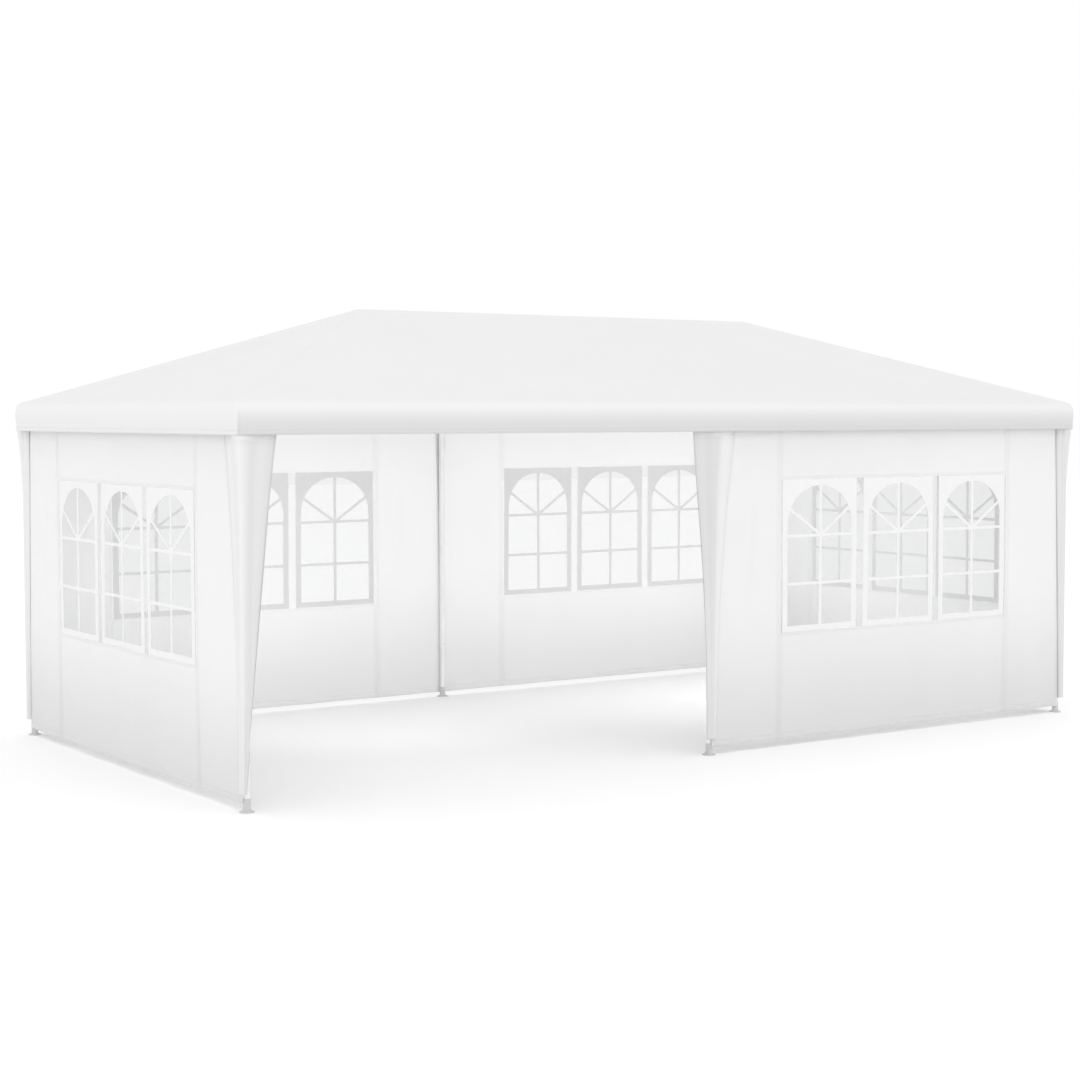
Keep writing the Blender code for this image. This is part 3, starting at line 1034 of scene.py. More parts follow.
@dataclass
class WallPanel:
    """A wall: its sewn cloth, clear sheet, printed frames, stitches and ties.

    Its own axes are x along the wall, out from the leg axes, and z up.
    """

    name: str
    side: Side
    middle: Pair
    seed: int
    bottom: float = 0.045
    # Painted shade over the whole wall, and painted shade that grows towards the ground.
    shade: float = 0.0
    foot_shade: float = 0.17
    half_width: float = 1.4985
    leg_gap: float = 0.0015
    inner: float = TUBE_TO_CLOTH
    thickness: float = 0.0014
    step: float = 0.026
    window_half: float = 0.966
    window_bottom: float = 0.69
    window_top: float = 1.615
    window_hem: float = 0.016
    seam_width: float = 0.026
    seam_proud: float = 0.001
    hem: float = 0.04
    head_hem: float = 0.045
    edge_hem: float = 0.018
    stitch_inset: float = 0.004
    stitch_proud: float = 0.0002
    stitch_step: float = 0.02
    window_stitches: Pair = (0.005, 0.0125)
    frame_width: float = 0.602
    frame_gap: float = 0.054
    frame_inset: float = 0.002
    film_depth: float = 0.0006
    film_inset: float = 0.0004
    film_gap: float = 0.0003
    film_cells: tuple[int, int] = (64, 31)
    print_proud: float = 0.00025
    # Painted shade on the print's reverse, as a factor on its colour.
    painted_reverse_shade: float = 0.825
    ties: int = 5
    tie_inset: float = 0.2
    wave_count: int = 8
    billow: float = 0.006
    billow_top: float = 1.95
    lift: float = 0.0035
    lift_length: float = 0.62
    crease: float = 0.0045
    crease_width: float = 0.016
    crease_from_leg: float = 0.285
    socket_bulge: float = 0.0012
    under_drape: Taper = Taper(0.03, 0.165, 2)
    # Painted light and shade in the cloth's colour: painted shade near the head, painted light just under
    # the valance, painted shade along the bottom hem, the seams and the crease, and painted light along
    # the side hems beside the legs.
    head_shade: float = 0.02
    painted_light_under_valance: float = 0.06
    hem_shade: float = 0.07
    seam_shade: float = 0.035
    crease_shade: float = 0.02
    painted_side_hem_light: float = 0.1

    def __post_init__(self) -> None:
        """Draw the soft folds of this wall from its seed."""
        rng = np.random.default_rng(self.seed)
        self.waves = []
        for _ in range(self.wave_count):
            height, length = rng.uniform(0.0005, 0.0013), rng.uniform(0.3, 0.95)
            self.waves.append((height, 2 * math.pi / length, rng.normal(0, 0.22), rng.uniform(0, 6.3)))
        self.hem_phase = rng.uniform(0, 6.3)

    @property
    def seam_edge(self) -> float:
        """The outer edge of the seam tapes beside the window."""
        return self.window_half + self.seam_width

    def folds(self, x: np.ndarray, z: np.ndarray) -> np.ndarray:
        """Fold the cloth softly where nothing holds it.

        Args:
            x: Places along the wall.
            z: Heights.

        Returns:
            How far the cloth stands out from its flat place.
        """
        from_leg = self.half_width + self.leg_gap - np.abs(x)
        over_socket = self.socket_bulge * fall(from_leg, 0.012, 0.03) * ease(z, 1.95, 1.985)
        from_drape = from_leg - self.under_drape.at(z)
        free = ease(from_drape, 0.012, 0.3) * fall(z, 1.86, 2.0)
        across = np.cos(x / self.half_width * math.pi / 2)
        billow = self.billow * across * np.sin(np.clip(z, 0, self.billow_top) / self.billow_top * math.pi)
        soft = sum(a * np.sin(k * (x * math.cos(t) + z * math.sin(t)) + p) for a, k, t, p in self.waves)
        wave = np.sin(2 * math.pi * x / self.lift_length + self.hem_phase)
        lift = self.lift * wave * fall(z, 0.045, 0.5)
        crease = self.crease * bell(x, self.crease_at(z), self.crease_width)
        crease = crease * ease(z, 0.75, 1.0) * fall(z, 1.5, 1.75) * ease(from_drape, 0.03, 0.09)
        return (billow + soft + lift) * free + crease + over_socket

    def crease_at(self, z: np.ndarray) -> np.ndarray:
        """Return where the upright crease beside the left leg runs, at a height."""
        return -HALF_WIDTH + self.crease_from_leg + 0.02 * (z - 1.3)

    def relief(self, x: np.ndarray, z: np.ndarray) -> np.ndarray:
        """Raise the doubled cloth: seams, hems and the window's edge.

        Args:
            x: Places along the wall.
            z: Heights.

        Returns:
            How far it stands proud of the single cloth.
        """
        aside = np.abs(x)
        foot_line, head_line = self.bottom + self.hem, EAVE_HEIGHT - self.head_hem
        side_line = self.half_width - self.edge_hem
        above = band(z, self.window_top - EDGE, self.window_top + self.window_hem)
        below = band(z, self.window_bottom - self.window_hem, self.window_bottom + EDGE)
        doubled = (
            band(aside, self.window_half, self.seam_edge),
            fall(z, foot_line - EDGE, foot_line),
            ease(z, head_line, head_line + EDGE),
            ease(aside, side_line, side_line + EDGE),
            np.where(aside < self.window_half + WELD, above + below, 0),
        )
        return self.seam_proud * np.clip(np.maximum.reduce(doubled), 0, 1)

    def out_at(self, x: np.ndarray, z: np.ndarray) -> np.ndarray:
        """Return the distance out of the single cloth's outer face."""
        return self.inner + self.thickness + self.folds(np.asarray(x, float), np.asarray(z, float))

    def to_tent(self, x: np.ndarray, out: np.ndarray, z: np.ndarray) -> np.ndarray:
        """Turn the wall's own places into the tent's.

        Args:
            x: Places along the wall.
            out: Distances out from the leg axes.
            z: Heights.

        Returns:
            The points.
        """
        cosine, sine = math.cos(self.side.turn), math.sin(self.side.turn)
        along, outward = np.array((cosine, sine)), np.array((sine, -cosine))
        x, out, z = np.broadcast_arrays(np.asarray(x, float), out, z)
        plan = np.array(self.middle) + x[..., None] * along + out[..., None] * outward
        return np.concatenate([plan, z[..., None]], -1)

    def toned(self, x: np.ndarray, z: np.ndarray) -> np.ndarray:
        """Paint light and shade into the cloth's tone: painted shade over the wall, towards the ground,
        near the head, along the bottom hem, the seams and the crease, and painted light just under the
        valance and along the side hems.

        Args:
            x: Places along the wall.
            z: Heights.

        Returns:
            The tone.
        """
        aside = np.abs(x)
        side_line = self.half_width - self.edge_hem
        # Painted shade towards the ground and near the head, less painted light just under the valance,
        # then painted shade along the hem, the seams and the crease.
        low = self.foot_shade * fall(z, 0.0, 0.95)
        high = self.head_shade * ease(z, 1.5, 1.85) - self.painted_light_under_valance * ease(z, 1.82, VALANCE_BOTTOM)
        line = self.hem_shade * fall(z, self.bottom + 0.002, self.bottom + 0.006)
        seams = sum(bell(aside, place, 0.003) for place in (self.window_half, self.seam_edge))
        seams = self.seam_shade * np.clip(seams, 0, 1)
        crease = self.crease_shade * bell(x, self.crease_at(z) + 0.03, 0.02) * band(z, 0.8, 1.6, 0.25)
        # Painted light along the side hem, against the shade beside the leg.
        tape = self.painted_side_hem_light * ease(aside, side_line, side_line + 0.002)
        return 1 - self.shade - low - high - line + tape - seams - crease

    def cloth(self) -> SheetGrid:
        """Lay out the sewn cloth with its window opening.

        Returns:
            The grid.
        """
        lines = (self.window_half, self.seam_edge, self.half_width - self.edge_hem)
        mirrored = [side * line for line in lines for side in (-1, 1)]
        columns = spaced(-self.half_width, self.half_width, self.step, *mirrored)
        hems = (self.bottom + self.hem, EAVE_HEIGHT - self.head_hem)
        below = (self.window_bottom - self.window_hem, self.window_bottom)
        above = (self.window_top, self.window_top + self.window_hem)
        rows = spaced(self.bottom, EAVE_HEIGHT, self.step, *hems, *below, *above)
        x, z = np.meshgrid(columns, rows)
        middle_x, middle_z = (columns[1:] + columns[:-1]) / 2, (rows[1:] + rows[:-1]) / 2
        across = np.abs(middle_x) < self.window_half
        beside = (middle_z > self.window_bottom) & (middle_z < self.window_top)
        return SheetGrid(
            f"wall_{self.name}_cloth",
            self.to_tent(x, self.out_at(x, z) + self.relief(x, z), z),
            np.stack([x, z], -1),
            self.toned(x, z),
            ~(beside[:, None] & across[None, :]),
        )

    def film_lines(self) -> tuple[np.ndarray, np.ndarray]:
        """Space the grid lines that the clear sheet and its print share.

        Returns:
            The upright and the level lines.
        """
        half, (across, up) = self.window_half - self.film_gap, self.film_cells
        low, high = self.window_bottom + self.film_gap, self.window_top - self.film_gap
        return np.linspace(-half, half, across + 1), np.linspace(low, high, up + 1)

    def film(self) -> SheetGrid:
        """Lay out the clear sheet that fills the opening.

        Returns:
            The grid.
        """
        x, z = np.meshgrid(*self.film_lines())
        points = self.to_tent(x, self.out_at(x, z) - self.film_inset, z)
        return SheetGrid(f"window_{self.name}_film", points, np.stack([x, z], -1), np.ones_like(x))

    def printed(self) -> bpy.types.Object:
        """Make the three printed frames, which show on both faces of the clear sheet.

        Returns:
            The print, with painted shade on its reverse.
        """
        height = self.window_top - self.window_bottom - 2 * self.frame_inset
        flat = PrintedFrame(self.frame_width, height).flat_shape()
        shape = bmesh.new()
        for place in (-1, 0, 1):
            moved = flat.copy()
            shift = place * (self.frame_width + self.frame_gap)
            moved.transform(Matrix.Translation((shift, self.window_top - self.frame_inset, 0)))
            shape.from_mesh(moved)
            bpy.data.meshes.remove(moved)
        columns, rows = self.film_lines()
        cuts = [((x, 0, 0), (1, 0, 0)) for x in columns] + [((0, z, 0), (0, 1, 0)) for z in rows]
        for place, normal in cuts:
            whole = [*shape.verts, *shape.edges, *shape.faces]
            bmesh.ops.bisect_plane(shape, geom=whole, plane_co=place, plane_no=normal, dist=1e-5)
        bmesh.ops.remove_doubles(shape, verts=shape.verts, dist=WELD)
        mesh = named_mesh(shape, f"window_{self.name}_print")
        outer = len(mesh.vertices)
        places = np.zeros(outer * 3)
        mesh.vertices.foreach_get("co", places)
        x, z, _ = places.reshape(-1, 3).T
        points = self.to_tent(x, self.out_at(x, z) - self.film_inset + self.print_proud, z)
        mesh.vertices.foreach_set("co", points.ravel())
        mesh.update()
        outward = Vector((math.sin(self.side.turn), -math.cos(self.side.turn), 0))
        if mesh.polygons[0].normal.dot(outward) < 0:
            mesh.flip_normals()
        obj = thicken(add_object(mesh.name, mesh), self.film_depth + 2 * self.print_proud)
        # The reverse of the print gets its painted shade here.
        tone = obj.data.attributes.new("tone", "FLOAT", "POINT")
        is_outer = np.arange(len(obj.data.vertices)) < outer
        tone.data.foreach_set("value", np.where(is_outer, 1.0, self.painted_reverse_shade))
        return obj

    def stitch_lines(self) -> list[np.ndarray]:
        """Lay out the stitch lines beside the seams, round the window and along the hems.

        Returns:
            The points of each line.
        """
        lines = []
        inset, window = self.stitch_inset, self.window_half
        tall = np.arange(self.bottom + inset, EAVE_HEIGHT, self.stitch_step)
        upright = (window + inset, self.seam_edge - inset, self.half_width - self.edge_hem + inset)
        for side, place in product((-1, 1), upright):
            lines.append((np.full_like(tall, side * place), tall))
        level = (
            (self.bottom + self.hem - inset, self.half_width),
            (EAVE_HEIGHT - self.head_hem + inset, self.half_width),
            *((self.window_top + away, window) for away in self.window_stitches),
            *((self.window_bottom - away, window) for away in self.window_stitches),
        )
        for height, reach in level:
            wide = np.arange(-reach + inset, reach, self.stitch_step)
            lines.append((wide, np.full_like(wide, height)))
        proud = self.seam_proud + self.stitch_proud
        return [self.to_tent(x, self.out_at(x, z) + proud, z) for x, z in lines]

    def build(self, finishes: Finishes, stitches: StitchRows, ties: "TieLoops") -> None:
        """Make the wall's pieces.

        Args:
            finishes: The tent's finishes.
            stitches: The stitch maker.
            ties: The maker of the loops round the eave tube.
        """
        cloth = dress(self.cloth().make(self.thickness), finishes.wall, Slot.WALL, f"wall_{self.name}")
        film = dress(self.film().make(self.film_depth), finishes.film, Slot.FILM, f"window_{self.name}")
        ink = dress(self.printed(), finishes.ink, Slot.FILM)
        thread = stitches.sew(f"wall_{self.name}_stitches", self.stitch_lines(), Slot.WALL)
        loops = ties.hang(self)


class TieLoops(Repeater):
    """Webbing loops that hang a wall from its eave tube."""

    def __init__(self, webbing: bpy.types.Material) -> None:
        """Make the tree: a hoop round the tube and a patch on the wall, at each point.

        Args:
            webbing: The loops' material.
        """
        super().__init__("tie_loops", Radius=0.0172, Width=0.03, Depth=0.0014, Patch=0.035, Stack=0.0024)
        graph, given = self.graph, self.given
        circle = {"Resolution": 28, "Radius": given["Radius"]}
        ring = graph.out("GeometryNodeCurvePrimitiveCircle", circle)
        section = {0: given["Depth"], 1: given["Width"]}
        strip = graph.out("GeometryNodeCurvePrimitiveQuadrilateral", section)
        hoop = graph.out("GeometryNodeCurveToMesh", {0: ring, 1: strip})
        upright = graph.out("GeometryNodeTransform", {0: hoop, "Rotation": (0, math.pi / 2, 0)})
        size = graph.out("ShaderNodeCombineXYZ", {0: given["Patch"], 1: given["Stack"], 2: given["Patch"]})
        counts = {"Vertices X": 6, "Vertices Y": 2, "Vertices Z": 6}
        patch = graph.out("GeometryNodeMeshCube", {"Size": size, **counts})
        lowered = graph.out("GeometryNodeTransform", {0: patch, "Translation": (0, -0.0192, -0.014)})
        both = graph.add("GeometryNodeJoinGeometry")
        for part in (upright, lowered):
            graph.feed(both.inputs[0], part)
        self.end(given["Geometry"], both.outputs[0], webbing, False)
        self.webbing = webbing

    def hang(self, wall: WallPanel) -> bpy.types.Object:
        """Hang a wall on its tube.

        Args:
            wall: The wall.

        Returns:
            The loops, as one piece.
        """
        reach = wall.half_width - wall.tie_inset
        places = [(x, 0, 0) for x in np.linspace(-reach, reach, wall.ties)]
        loops = self.lay(f"wall_{wall.name}_ties", places)
        turned = Matrix.Rotation(wall.side.turn, 4, "Z")
        loops.data.transform(Matrix.Translation((*wall.middle, EAVE_HEIGHT)) @ turned)
        return dress(loops, self.webbing, Slot.WALL)


NARROW = Taper(0.008, 0.06, 1.3)


@dataclass
class LegDrape:
    """A tapering drape that hangs from under the valance round the outside of a leg.

    Across the drape, s runs from -1 at one edge to 1 at the other. A drape on a middle
    leg has no end wing. The side of s with the sign of free_side hangs free of any wall.
    """

    name: str
    side_x: int
    side_y: int
    long_wing: Taper = NARROW
    end_wing: Taper = NARROW
    free_side: int = 0
    # Painted shade on the half beside the open bay: its amount, where it starts across the drape and how
    # much it fades towards the foot; then painted shade along the edges.
    shade: float = 0.0
    shade_from: float = -0.1
    shade_fade: float = 0.0
    painted_edge_shade: float = 0.04
    thickness: float = 0.0013
    bottom: float = DRAPE_BOTTOM
    top: float = 2.055
    inner: float = 0.0241
    outer: float = 0.0419
    flare: float = 0.0236
    flare_from: float = 1.5
    corner_round: float = 0.014
    full_depth_from: float = 0.03
    seam_height: float = 1.872
    seam_width: float = 0.014
    seam_stitches: Pair = (0.003, 0.011)
    middle_seam: float = 0.0008
    corner_seam: float = 0.0006
    edge_stitch_proud: float = 0.0002
    seam_stitch_proud: float = 0.0003
    ripple_count: float = 1.55
    # Painted shade in the folds, towards the foot and along the seam, painted light just under the
    # valance, and the tone where nothing is painted.
    ripple_shade: float = 0.03
    foot_shade: float = 0.05
    seam_shade: float = 0.05
    painted_head_light: float = 0.03
    plain_tone: float = 0.985
    columns: int = 56
    step: float = 0.03

    @property
    def place(self) -> Pair:
        """The leg's axis on the ground."""
        return self.side_x * HALF_LENGTH, self.side_y * HALF_WIDTH

    @property
    def long_sign(self) -> int:
        """The sign of s on the wing that hangs along the tent's long side."""
        return self.side_x * self.side_y

    def half_at(self, s: np.ndarray, z: np.ndarray) -> np.ndarray:
        """Return how far the drape reaches past its leg's axis."""
        on_long = (s * self.long_sign > 0) if self.side_x else True
        return np.where(on_long, self.long_wing.at(z), self.end_wing.at(z))

    def flare_at(self, z: np.ndarray) -> np.ndarray:
        """Return how far the head stands out to meet the valance."""
        rise = np.clip((z - self.flare_from) / (VALANCE_BOTTOM - self.flare_from), 0, 1)
        return self.flare * rise**1.6 * fall(z, VALANCE_BOTTOM + 0.02, self.top)

    def edge_stand(self, s: np.ndarray) -> np.ndarray:
        """Return the share of the flare left at a wing's edge: little where it lies on a wall."""
        return np.where(s * self.free_side > 0, 0.8, 0.1)

    def ripple(self, s: np.ndarray, z: np.ndarray) -> np.ndarray:
        """Fold a wing softly, and differently at each leg.

        Args:
            s: Places across the wing, 0 at the leg and 1 at the edge.
            z: Heights.

        Returns:
            The upright folds, from -1 to 1.
        """
        sway = 0.25 * np.sin(2.1 * z + 2.0 * self.side_x + self.side_y)
        turns = 2 * math.pi * self.ripple_count * (s + 0.04 * sway)
        return np.cos(turns) * (0.45 + 0.55 * ease(z, 0.4, 1.5))

    def seam(self, z: np.ndarray) -> np.ndarray:
        """Return how far the seam tape below the valance stands proud."""
        proud = self.corner_seam if self.side_x else self.middle_seam
        return proud * band(z, self.seam_height, self.seam_height + self.seam_width)

    def toned(self, s: np.ndarray, z: np.ndarray) -> np.ndarray:
        """Paint light and shade into the drape's tone: painted shade on the half beside the open bay, in
        the folds, towards the foot, along the seam and at the edges, and painted light just under the
        valance.

        Args:
            s: Places across the drape.
            z: Heights.

        Returns:
            The tone.
        """
        # Painted shade on the half beside the open bay, fading towards the foot, and painted shade in the
        # folds.
        toward = s * (self.long_sign or -1)
        beside = ease(toward, self.shade_from, self.shade_from + 0.38)
        beside = beside * (1 - self.shade_fade * fall(z, 0.1, 1.5))
        fold = 0.5 - 0.5 * self.ripple(np.abs(s), z)
        shade = self.shade * beside + self.ripple_shade * fold + self.foot_shade * fall(z, 0.05, 0.7)
        line = self.seam_shade * bell(z, self.seam_height, 0.003)
        # Painted shade along both edges, darker at the edge of the shaded half.
        edge = self.painted_edge_shade * ease(np.abs(s), 0.93, 0.98)
        edge = edge + self.painted_edge_shade * 3 * ease(toward, 0.91, 0.96) * (1 - 0.7 * ease(z, 0.9, 1.85))
        return self.plain_tone - shade - line - edge + self.painted_head_light * ease(z, 1.84, VALANCE_BOTTOM)

    def middle_points(self, s: np.ndarray, z: np.ndarray) -> np.ndarray:
        """Shape the outer face of a drape on a middle leg.

        Args:
            s: Places across the drape, as seen from outside.
            z: Heights.

        Returns:
            The points.
        """
        aside, half = np.abs(s), self.half_at(s, z)
        full = self.outer - self.inner - self.thickness
        depth = full * np.clip(half / self.full_depth_from, 0, 1)
        crest = 0.1 + 0.75 * (1 - aside) ** 1.15 + 0.13 * self.ripple(aside, z) * (1 - aside**3)
        out = self.inner + self.thickness + depth * np.clip(crest, 0, 1)
        out = out + self.seam(z) + self.flare_at(z) * (1 - (1 - self.edge_stand(s)) * aside**2)
        x = self.place[0] - self.side_y * s * half
        return np.stack([x, self.place[1] + self.side_y * out, z], -1)

    def corner_points(self, s: np.ndarray, z: np.ndarray) -> np.ndarray:
        """Shape the outer face of a drape round a corner leg.

        Args:
            s: Places across the drape, with the corner at 0.
            z: Heights.

        Returns:
            The points.
        """
        flare, half = self.flare_at(z), self.half_at(s, z)
        corner = self.outer - self.corner_seam + flare
        run = np.abs(s) * (half + corner)
        radius = self.corner_round + 0.6 * flare
        turn = np.clip(1 - run / radius, 0, 1) * math.pi / 4
        along = np.where(run < radius, corner - radius * (1 - np.sin(turn)), corner - run)
        out = corner - radius * (1 - np.cos(turn))
        away = np.clip((run - corner) / np.maximum(half, 1e-6), 0, 1)
        depth = corner - self.edge_stand(s) * flare - self.inner - self.thickness
        share = 0.86 * away**0.9 + 0.12 * (1 - self.ripple(away, z)) * ease(away, 0, 0.3)
        out = out - depth * np.clip(share, 0, 1) + self.seam(z)
        on_long = s * self.long_sign > 0
        x, y = np.where(on_long, along, out), np.where(on_long, out, along)
        return np.stack([self.place[0] + self.side_x * x, self.place[1] + self.side_y * y, z], -1)

    def grid(self) -> SheetGrid:
        """Lay out the drape.

        Returns:
            The grid.
        """
        seam = (self.seam_height, self.seam_height + self.seam_width)
        rows = spaced(self.bottom, self.top, self.step, *seam)
        near = self.corner_round / 0.2 * np.linspace(0, 1, 6) if self.side_x else np.zeros(1)
        half = np.concatenate([near, np.linspace(near[-1], 1, self.columns // 2)[1:]])
        s, z = np.meshgrid(np.concatenate([-half[::-1], half[1:]]), rows)
        points = self.corner_points(s, z) if self.side_x else self.middle_points(s, z)
        width = self.half_at(s, z) + (self.outer if self.side_x else 0)
        cut = np.stack([s * width, z], -1)
        return SheetGrid(f"drape_{self.name}_cloth", points, cut, self.toned(s, z))

    def build(self, finishes: Finishes, stitches: StitchRows) -> None:
        """Make the drape and its stitches.

        Args:
            finishes: The tent's finishes.
            stitches: The stitch maker.
        """
        grid = self.grid()
        cloth = dress(grid.make(self.thickness), finishes.drape, Slot.DRAPE, f"drape_{self.name}")
        way = np.array((self.side_x, self.side_y, 0), float)
        outward = way / np.linalg.norm(way)
        lines = [grid.points[:, column] + outward * self.edge_stitch_proud for column in (1, -2)]
        heights = grid.cut[:, 0, 1]
        for up in self.seam_stitches:
            row = int(np.argmin(np.abs(heights - (self.seam_height + up))))
            lines.append(grid.points[row] + outward * self.seam_stitch_proud)
        thread = stitches.sew(f"drape_{self.name}_stitches", lines, Slot.DRAPE)


@dataclass
class LegFoot:
    """A turned foot with rounded rims, and the bore that takes the leg."""

    radius: float = 0.04
    neck: float = 0.02
    height: float = 0.07
    bore: float = 0.0163
    floor: float = 0.012
    sides: int = 64
    sharp_degrees: float = 42

    def profile(self) -> list[Pair]:
        """Draw the foot's outline, from the base's middle round to the bore's floor.

        Returns:
            The radius and height of each point.
        """
        below = ((-0.0008, 0), (-0.0002, 0.0003), (0, 0.001))
        above = ((0, 0.0038), (-0.0003, 0.0046), (-0.0011, 0.0051))
        flare = [
            (0.012 * (1 - math.sin(t)), 0.0085 + 0.0135 * (1 - math.cos(t)))
            for t in np.linspace(0.15, math.pi / 2, 7)
        ]
        ring = ((0, 0.052), (0.0006, 0.0528), (0.0006, 0.0562), (0, 0.057))
        top = ((0, -0.0015), (-0.0003, -0.0005), (-0.0011, 0), (-0.0029, 0), (-0.0035, -0.0004))
        return [
            (0.0, 0.0),
            *((self.radius + aside, up) for aside, up in (*below, *above)),
            *((self.neck + aside, up) for aside, up in (*flare, *ring)),
            *((self.neck + aside, self.height + up) for aside, up in top),
            (self.bore, self.height - 0.0015),
            (self.bore, self.floor),
            (0.0, self.floor),
        ]

    def build(self, name: str, place: Pair, finish: bpy.types.Material) -> None:
        """Turn one foot.

        Args:
            name: The leg's name.
            place: The leg's axis on the ground.
            finish: The foot's material.
        """
        radius, height = np.array(self.profile()).T[..., None]
        turn = np.linspace(0, 2 * math.pi, self.sides + 1)
        x, y = place[0] + radius * np.cos(turn), place[1] + radius * np.sin(turn)
        points = np.stack([x, y, np.broadcast_to(height, x.shape)], -1).reshape(-1, 3)
        mesh = bpy.data.meshes.new(f"foot_{name}_turned")
        mesh.from_pydata(points.tolist(), [], grid_cells(*x.shape).reshape(-1, 4).tolist())
        shape = bmesh.new()
        shape.from_mesh(mesh)
        bmesh.ops.remove_doubles(shape, verts=shape.verts, dist=WELD)
        bmesh.ops.recalc_face_normals(shape, faces=shape.faces)
        shape.to_mesh(mesh)
        shape.free()
        smooth(mesh, self.sharp_degrees)
        dress(add_object(mesh.name, mesh), finish, Slot.FOOT, f"foot_{name}")


class SnapButtons(Repeater):
    """The domes of the snap buttons."""

    def __init__(self, steel: bpy.types.Material) -> None:
        """Make the tree: one dome at each point.

        Args:
            steel: The buttons' material.
        """
        super().__init__("snap_buttons", Radius=0.0042)
        ball = {"Segments": 20, "Rings": 12, "Radius": self.given["Radius"]}
        dome = self.graph.out("GeometryNodeMeshUVSphere", ball)
        self.end(self.given["Geometry"], dome, steel, True)


@dataclass
class TubeFrame:
    """The tubes and fittings, which stay as packed, with their coats and snap buttons."""

    button_reach: float = 0.115
    button_sink: float = 0.0005
    low_button_height: float = 0.375

    def runs(self) -> list[tuple[Vector, Vector]]:
        """List the roof tubes.

        Returns:
            The two joints that each tube runs between.
        """
        ends, sides = (-1, 0, 1), (-1, 1)
        legs = product(ends, sides)
        head = {(x, y): Vector((x * HALF_LENGTH, y * HALF_WIDTH, EAVE_HEIGHT)) for x, y in legs}
        ridge = {x: Vector((x * RIDGE_HALF_LENGTH, 0, RIDGE_HEIGHT)) for x in ends}
        runs = []
        for y in sides:
            runs += [(head[-1, y], head[0, y]), (head[0, y], head[1, y])]
            runs += [(head[x, y], ridge[x]) for x in ends]
        runs += [(head[x, -1], head[x, 1]) for x in sides]
        return runs + [(ridge[-1], ridge[0]), (ridge[0], ridge[1])]

    def button_places(self) -> list[Vector]:
        """Find where the snap buttons stand out of the tubes.

        Returns:
            The middle of each dome.
        """
        places = []
        for start, end in self.runs():
            along = (end - start).normalized()
            side = along.cross(Vector((0, 0, 1))).normalized()
            below = along.cross(side).normalized()
            below = (-below if below.z > 0 else below) * (ROOF_TUBE_RADIUS - self.button_sink)
            for joint, way in ((start, along), (end, -along)):
                places.append(joint + way * self.button_reach + below)
        for x, y in product((-1, 0, 1), (-1, 1)):
            inward = Vector((-x, -y, 0)).normalized() * (LEG_RADIUS - self.button_sink)
            leg = Vector((x * HALF_LENGTH, y * HALF_WIDTH, 0)) + inward
            for height in (self.low_button_height, EAVE_HEIGHT - self.button_reach):
                places.append(leg + Vector((0, 0, height)))
        return places

    def build(self, finishes: Finishes) -> None:
        """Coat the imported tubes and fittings, and add the buttons.

        Args:
            finishes: The tent's finishes.
        """
        coats = dict.fromkeys(("leg", "eave", "hip", "rafter", "ridge"), finishes.tube)
        coats["fitting"] = finishes.fitting
        for name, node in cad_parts.items():
            kind = name.split("_")[0]
            if kind in coats:
                for slot in node.material_slots:
                    slot.material = coats[kind]
        places = [tuple(place) for place in self.button_places()]
        buttons = SnapButtons(finishes.button).lay("frame_snap_buttons", places)
        dress(buttons, finishes.button, Slot.TUBE)


@dataclass(frozen=True)
class Lamp:
    """A soft square lamp that the camera doesn't see."""

    name: str
    place: Triple
    target: Triple
    size: float
    watts: float
    spread_degrees: float = 180

    def hang(self) -> None:
        """Hang the lamp, turned to its target."""
        lamp = bpy.data.lights.new(self.name, "AREA")
        lamp.shape = "SQUARE"
        lamp.size = self.size
        lamp.spread = math.radians(self.spread_degrees)
        lamp.energy = self.watts
        holder = add_object(self.name, lamp)
        holder.location = self.place
        way = Vector(self.target) - Vector(self.place)
        holder.rotation_euler = way.to_track_quat("-Z", "Y").to_euler()
        holder.visible_camera = False
        holder.visible_glossy = False


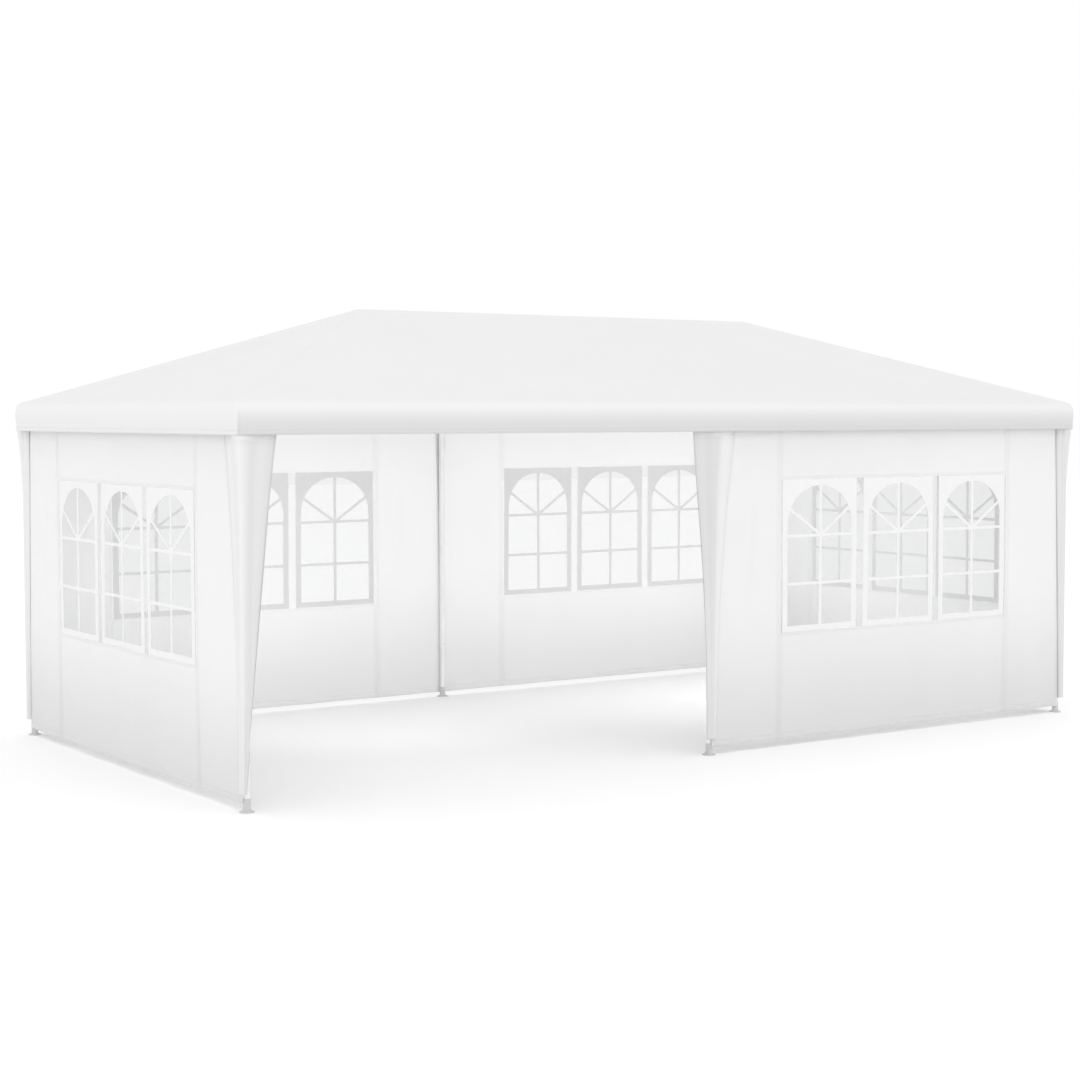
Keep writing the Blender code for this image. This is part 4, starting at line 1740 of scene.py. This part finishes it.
@dataclass
class Studio:
    """The pale floor, the soft light and the camera, which stands where the photo was taken."""

    camera_place: Triple = (-7.4386, -10.6286, 2.0083)
    yaw: float = math.radians(34.599)
    pitch: float = math.radians(-3.493)
    roll: float = math.radians(-0.044)
    photo_side: float = 1080
    focal_pixels: float = 2006.2
    shift_pixels: Pair = (-9.5, -3.6)
    sensor: float = 36
    view_end: float = 200
    sky: float = 1.0
    floor_size: float = 40.0
    floor_glow: float = 0.07
    lamps: tuple[Lamp, ...] = (
        Lamp("key_light", (-6, -9, 7), (0, 0, 1.2), 6.0, 60),
        Lamp("back_light_left", (-1.7, -1.0, 1.25), (-0.8, 1.5, 1.25), 1.2, 6.2, 110),
        Lamp("corner_light_left", (-2.3, -0.7, 1.1), (-2.4, 1.5, 1.0), 0.8, 2.6, 90),
        Lamp("back_light_right", (1.4, -1.25, 1.25), (1.4, 1.5, 1.25), 1.6, 8.6, 110),
        Lamp("end_light_right", (0.6, 0, 1.2), (3, 0, 1.2), 1.2, 8.6, 110),
        Lamp("floor_light_left", (-1.3, -0.3, 1.8), (-1.3, -0.3, 0), 2.2, 2.1, 100),
        Lamp("floor_light_right", (1.5, 0, 1.8), (1.5, 0, 0), 2.2, 2.0, 100),
    )

    def build(self) -> None:
        """Set up floor, light and camera."""
        bpy.context.scene.view_settings.view_transform = "Standard"
        self.add_floor()
        self.add_sky()
        for lamp in self.lamps:
            lamp.hang()
        self.add_camera()

    def add_floor(self) -> None:
        """Lay the floor."""
        shape = bmesh.new()
        bmesh.ops.create_grid(shape, x_segments=4, y_segments=4, size=self.floor_size)
        mesh = named_mesh(shape, "studio_floor")
        shader = Shader("studio_floor")
        shader.set(Base_Color=(1, 1, 1, 1), Roughness=1.0, Specular_IOR_Level=0.0)
        shader.set(Emission_Color=(1, 1, 1, 1), Emission_Strength=self.floor_glow)
        mesh.materials.append(shader.material)
        add_object("studio_floor", mesh)

    def add_sky(self) -> None:
        """Light the scene evenly from all round."""
        world = bpy.data.worlds.new("studio_sky")
        world.use_nodes = True
        background = world.node_tree.nodes["Background"]
        background.inputs["Color"].default_value = (1, 1, 1, 1)
        background.inputs["Strength"].default_value = self.sky
        bpy.context.scene.world = world

    def add_camera(self) -> None:
        """Stand the camera where the photo was taken from."""
        level, tip = math.cos(self.pitch), math.sin(self.pitch)
        forward = Vector((math.sin(self.yaw) * level, math.cos(self.yaw) * level, tip))
        right = forward.cross(Vector((0, 0, 1))).normalized()
        up = right.cross(forward)
        cosine, sine = math.cos(self.roll), math.sin(self.roll)
        axes = Matrix((right * cosine + up * sine, up * cosine - right * sine, -forward)).transposed()
        lens = bpy.data.cameras.new("photo_camera")
        lens.sensor_width = self.sensor
        lens.lens = self.focal_pixels / self.photo_side * self.sensor
        lens.shift_x, lens.shift_y = (pixels / self.photo_side for pixels in self.shift_pixels)
        lens.clip_end = self.view_end
        camera = add_object("photo_camera", lens)
        camera.matrix_world = Matrix.Translation(self.camera_place) @ axes.to_4x4()
        bpy.context.scene.camera = camera


# Each wall's shade and foot_shade are painted shade in its colour.
WALLS = (
    WallPanel("front_right", Side.FRONT, (1.5, -HALF_WIDTH), 11, shade=0.04),
    WallPanel("right_end", Side.RIGHT, (HALF_LENGTH, 0.0), 23, shade=0.03),
    WallPanel("back_right", Side.BACK, (1.5, HALF_WIDTH), 31, bottom=0.03, shade=0.025, foot_shade=0.16),
    WallPanel("back_left", Side.BACK, (-1.5, HALF_WIDTH), 47, bottom=0.03, shade=0.025, foot_shade=0.16),
    WallPanel("left_end", Side.LEFT, (-HALF_LENGTH, 0.0), 59, shade=0.045, foot_shade=0.18),
)
# A drape's shade settings and edge lines are painted shade in its colour.
DRAPES = (
    LegDrape(
        "front_left",
        -1,
        -1,
        long_wing=Taper(-0.02, 0.163, 1),
        end_wing=Taper(0.03, 0.165, 2),
        free_side=1,
        shade=0.1,
        shade_from=0.0,
        painted_edge_shade=0.08,
    ),
    LegDrape(
        "front_middle",
        0,
        -1,
        long_wing=Taper(0.035, 0.165, 2),
        free_side=-1,
        shade=0.14,
        shade_from=-0.4,
        shade_fade=0.6,
        painted_edge_shade=0.08,
    ),
    LegDrape("front_right", 1, -1, shade=0.07, painted_edge_shade=0.1),
    LegDrape("back_left", -1, 1),
    LegDrape("back_middle", 0, 1, long_wing=Taper(0.008, 0.045, 3)),
    LegDrape("back_right", 1, 1),
)


def main() -> None:
    """Build the looks of the tent in order."""
    logging.basicConfig(level=logging.INFO, format="%(name)s %(message)s")
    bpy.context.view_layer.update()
    finishes = Finishes.make()
    stitches = StitchRows(finishes.thread)
    ties = TieLoops(finishes.webbing)
    RoofCover().build(finishes, stitches)
    for wall in WALLS:
        wall.build(finishes, stitches, ties)
    for drape in DRAPES:
        drape.build(finishes, stitches)
        LegFoot().build(drape.name, drape.place, finishes.foot)
    TubeFrame().build(finishes)
    Studio().build()


if __name__ == "__main__":
    main()
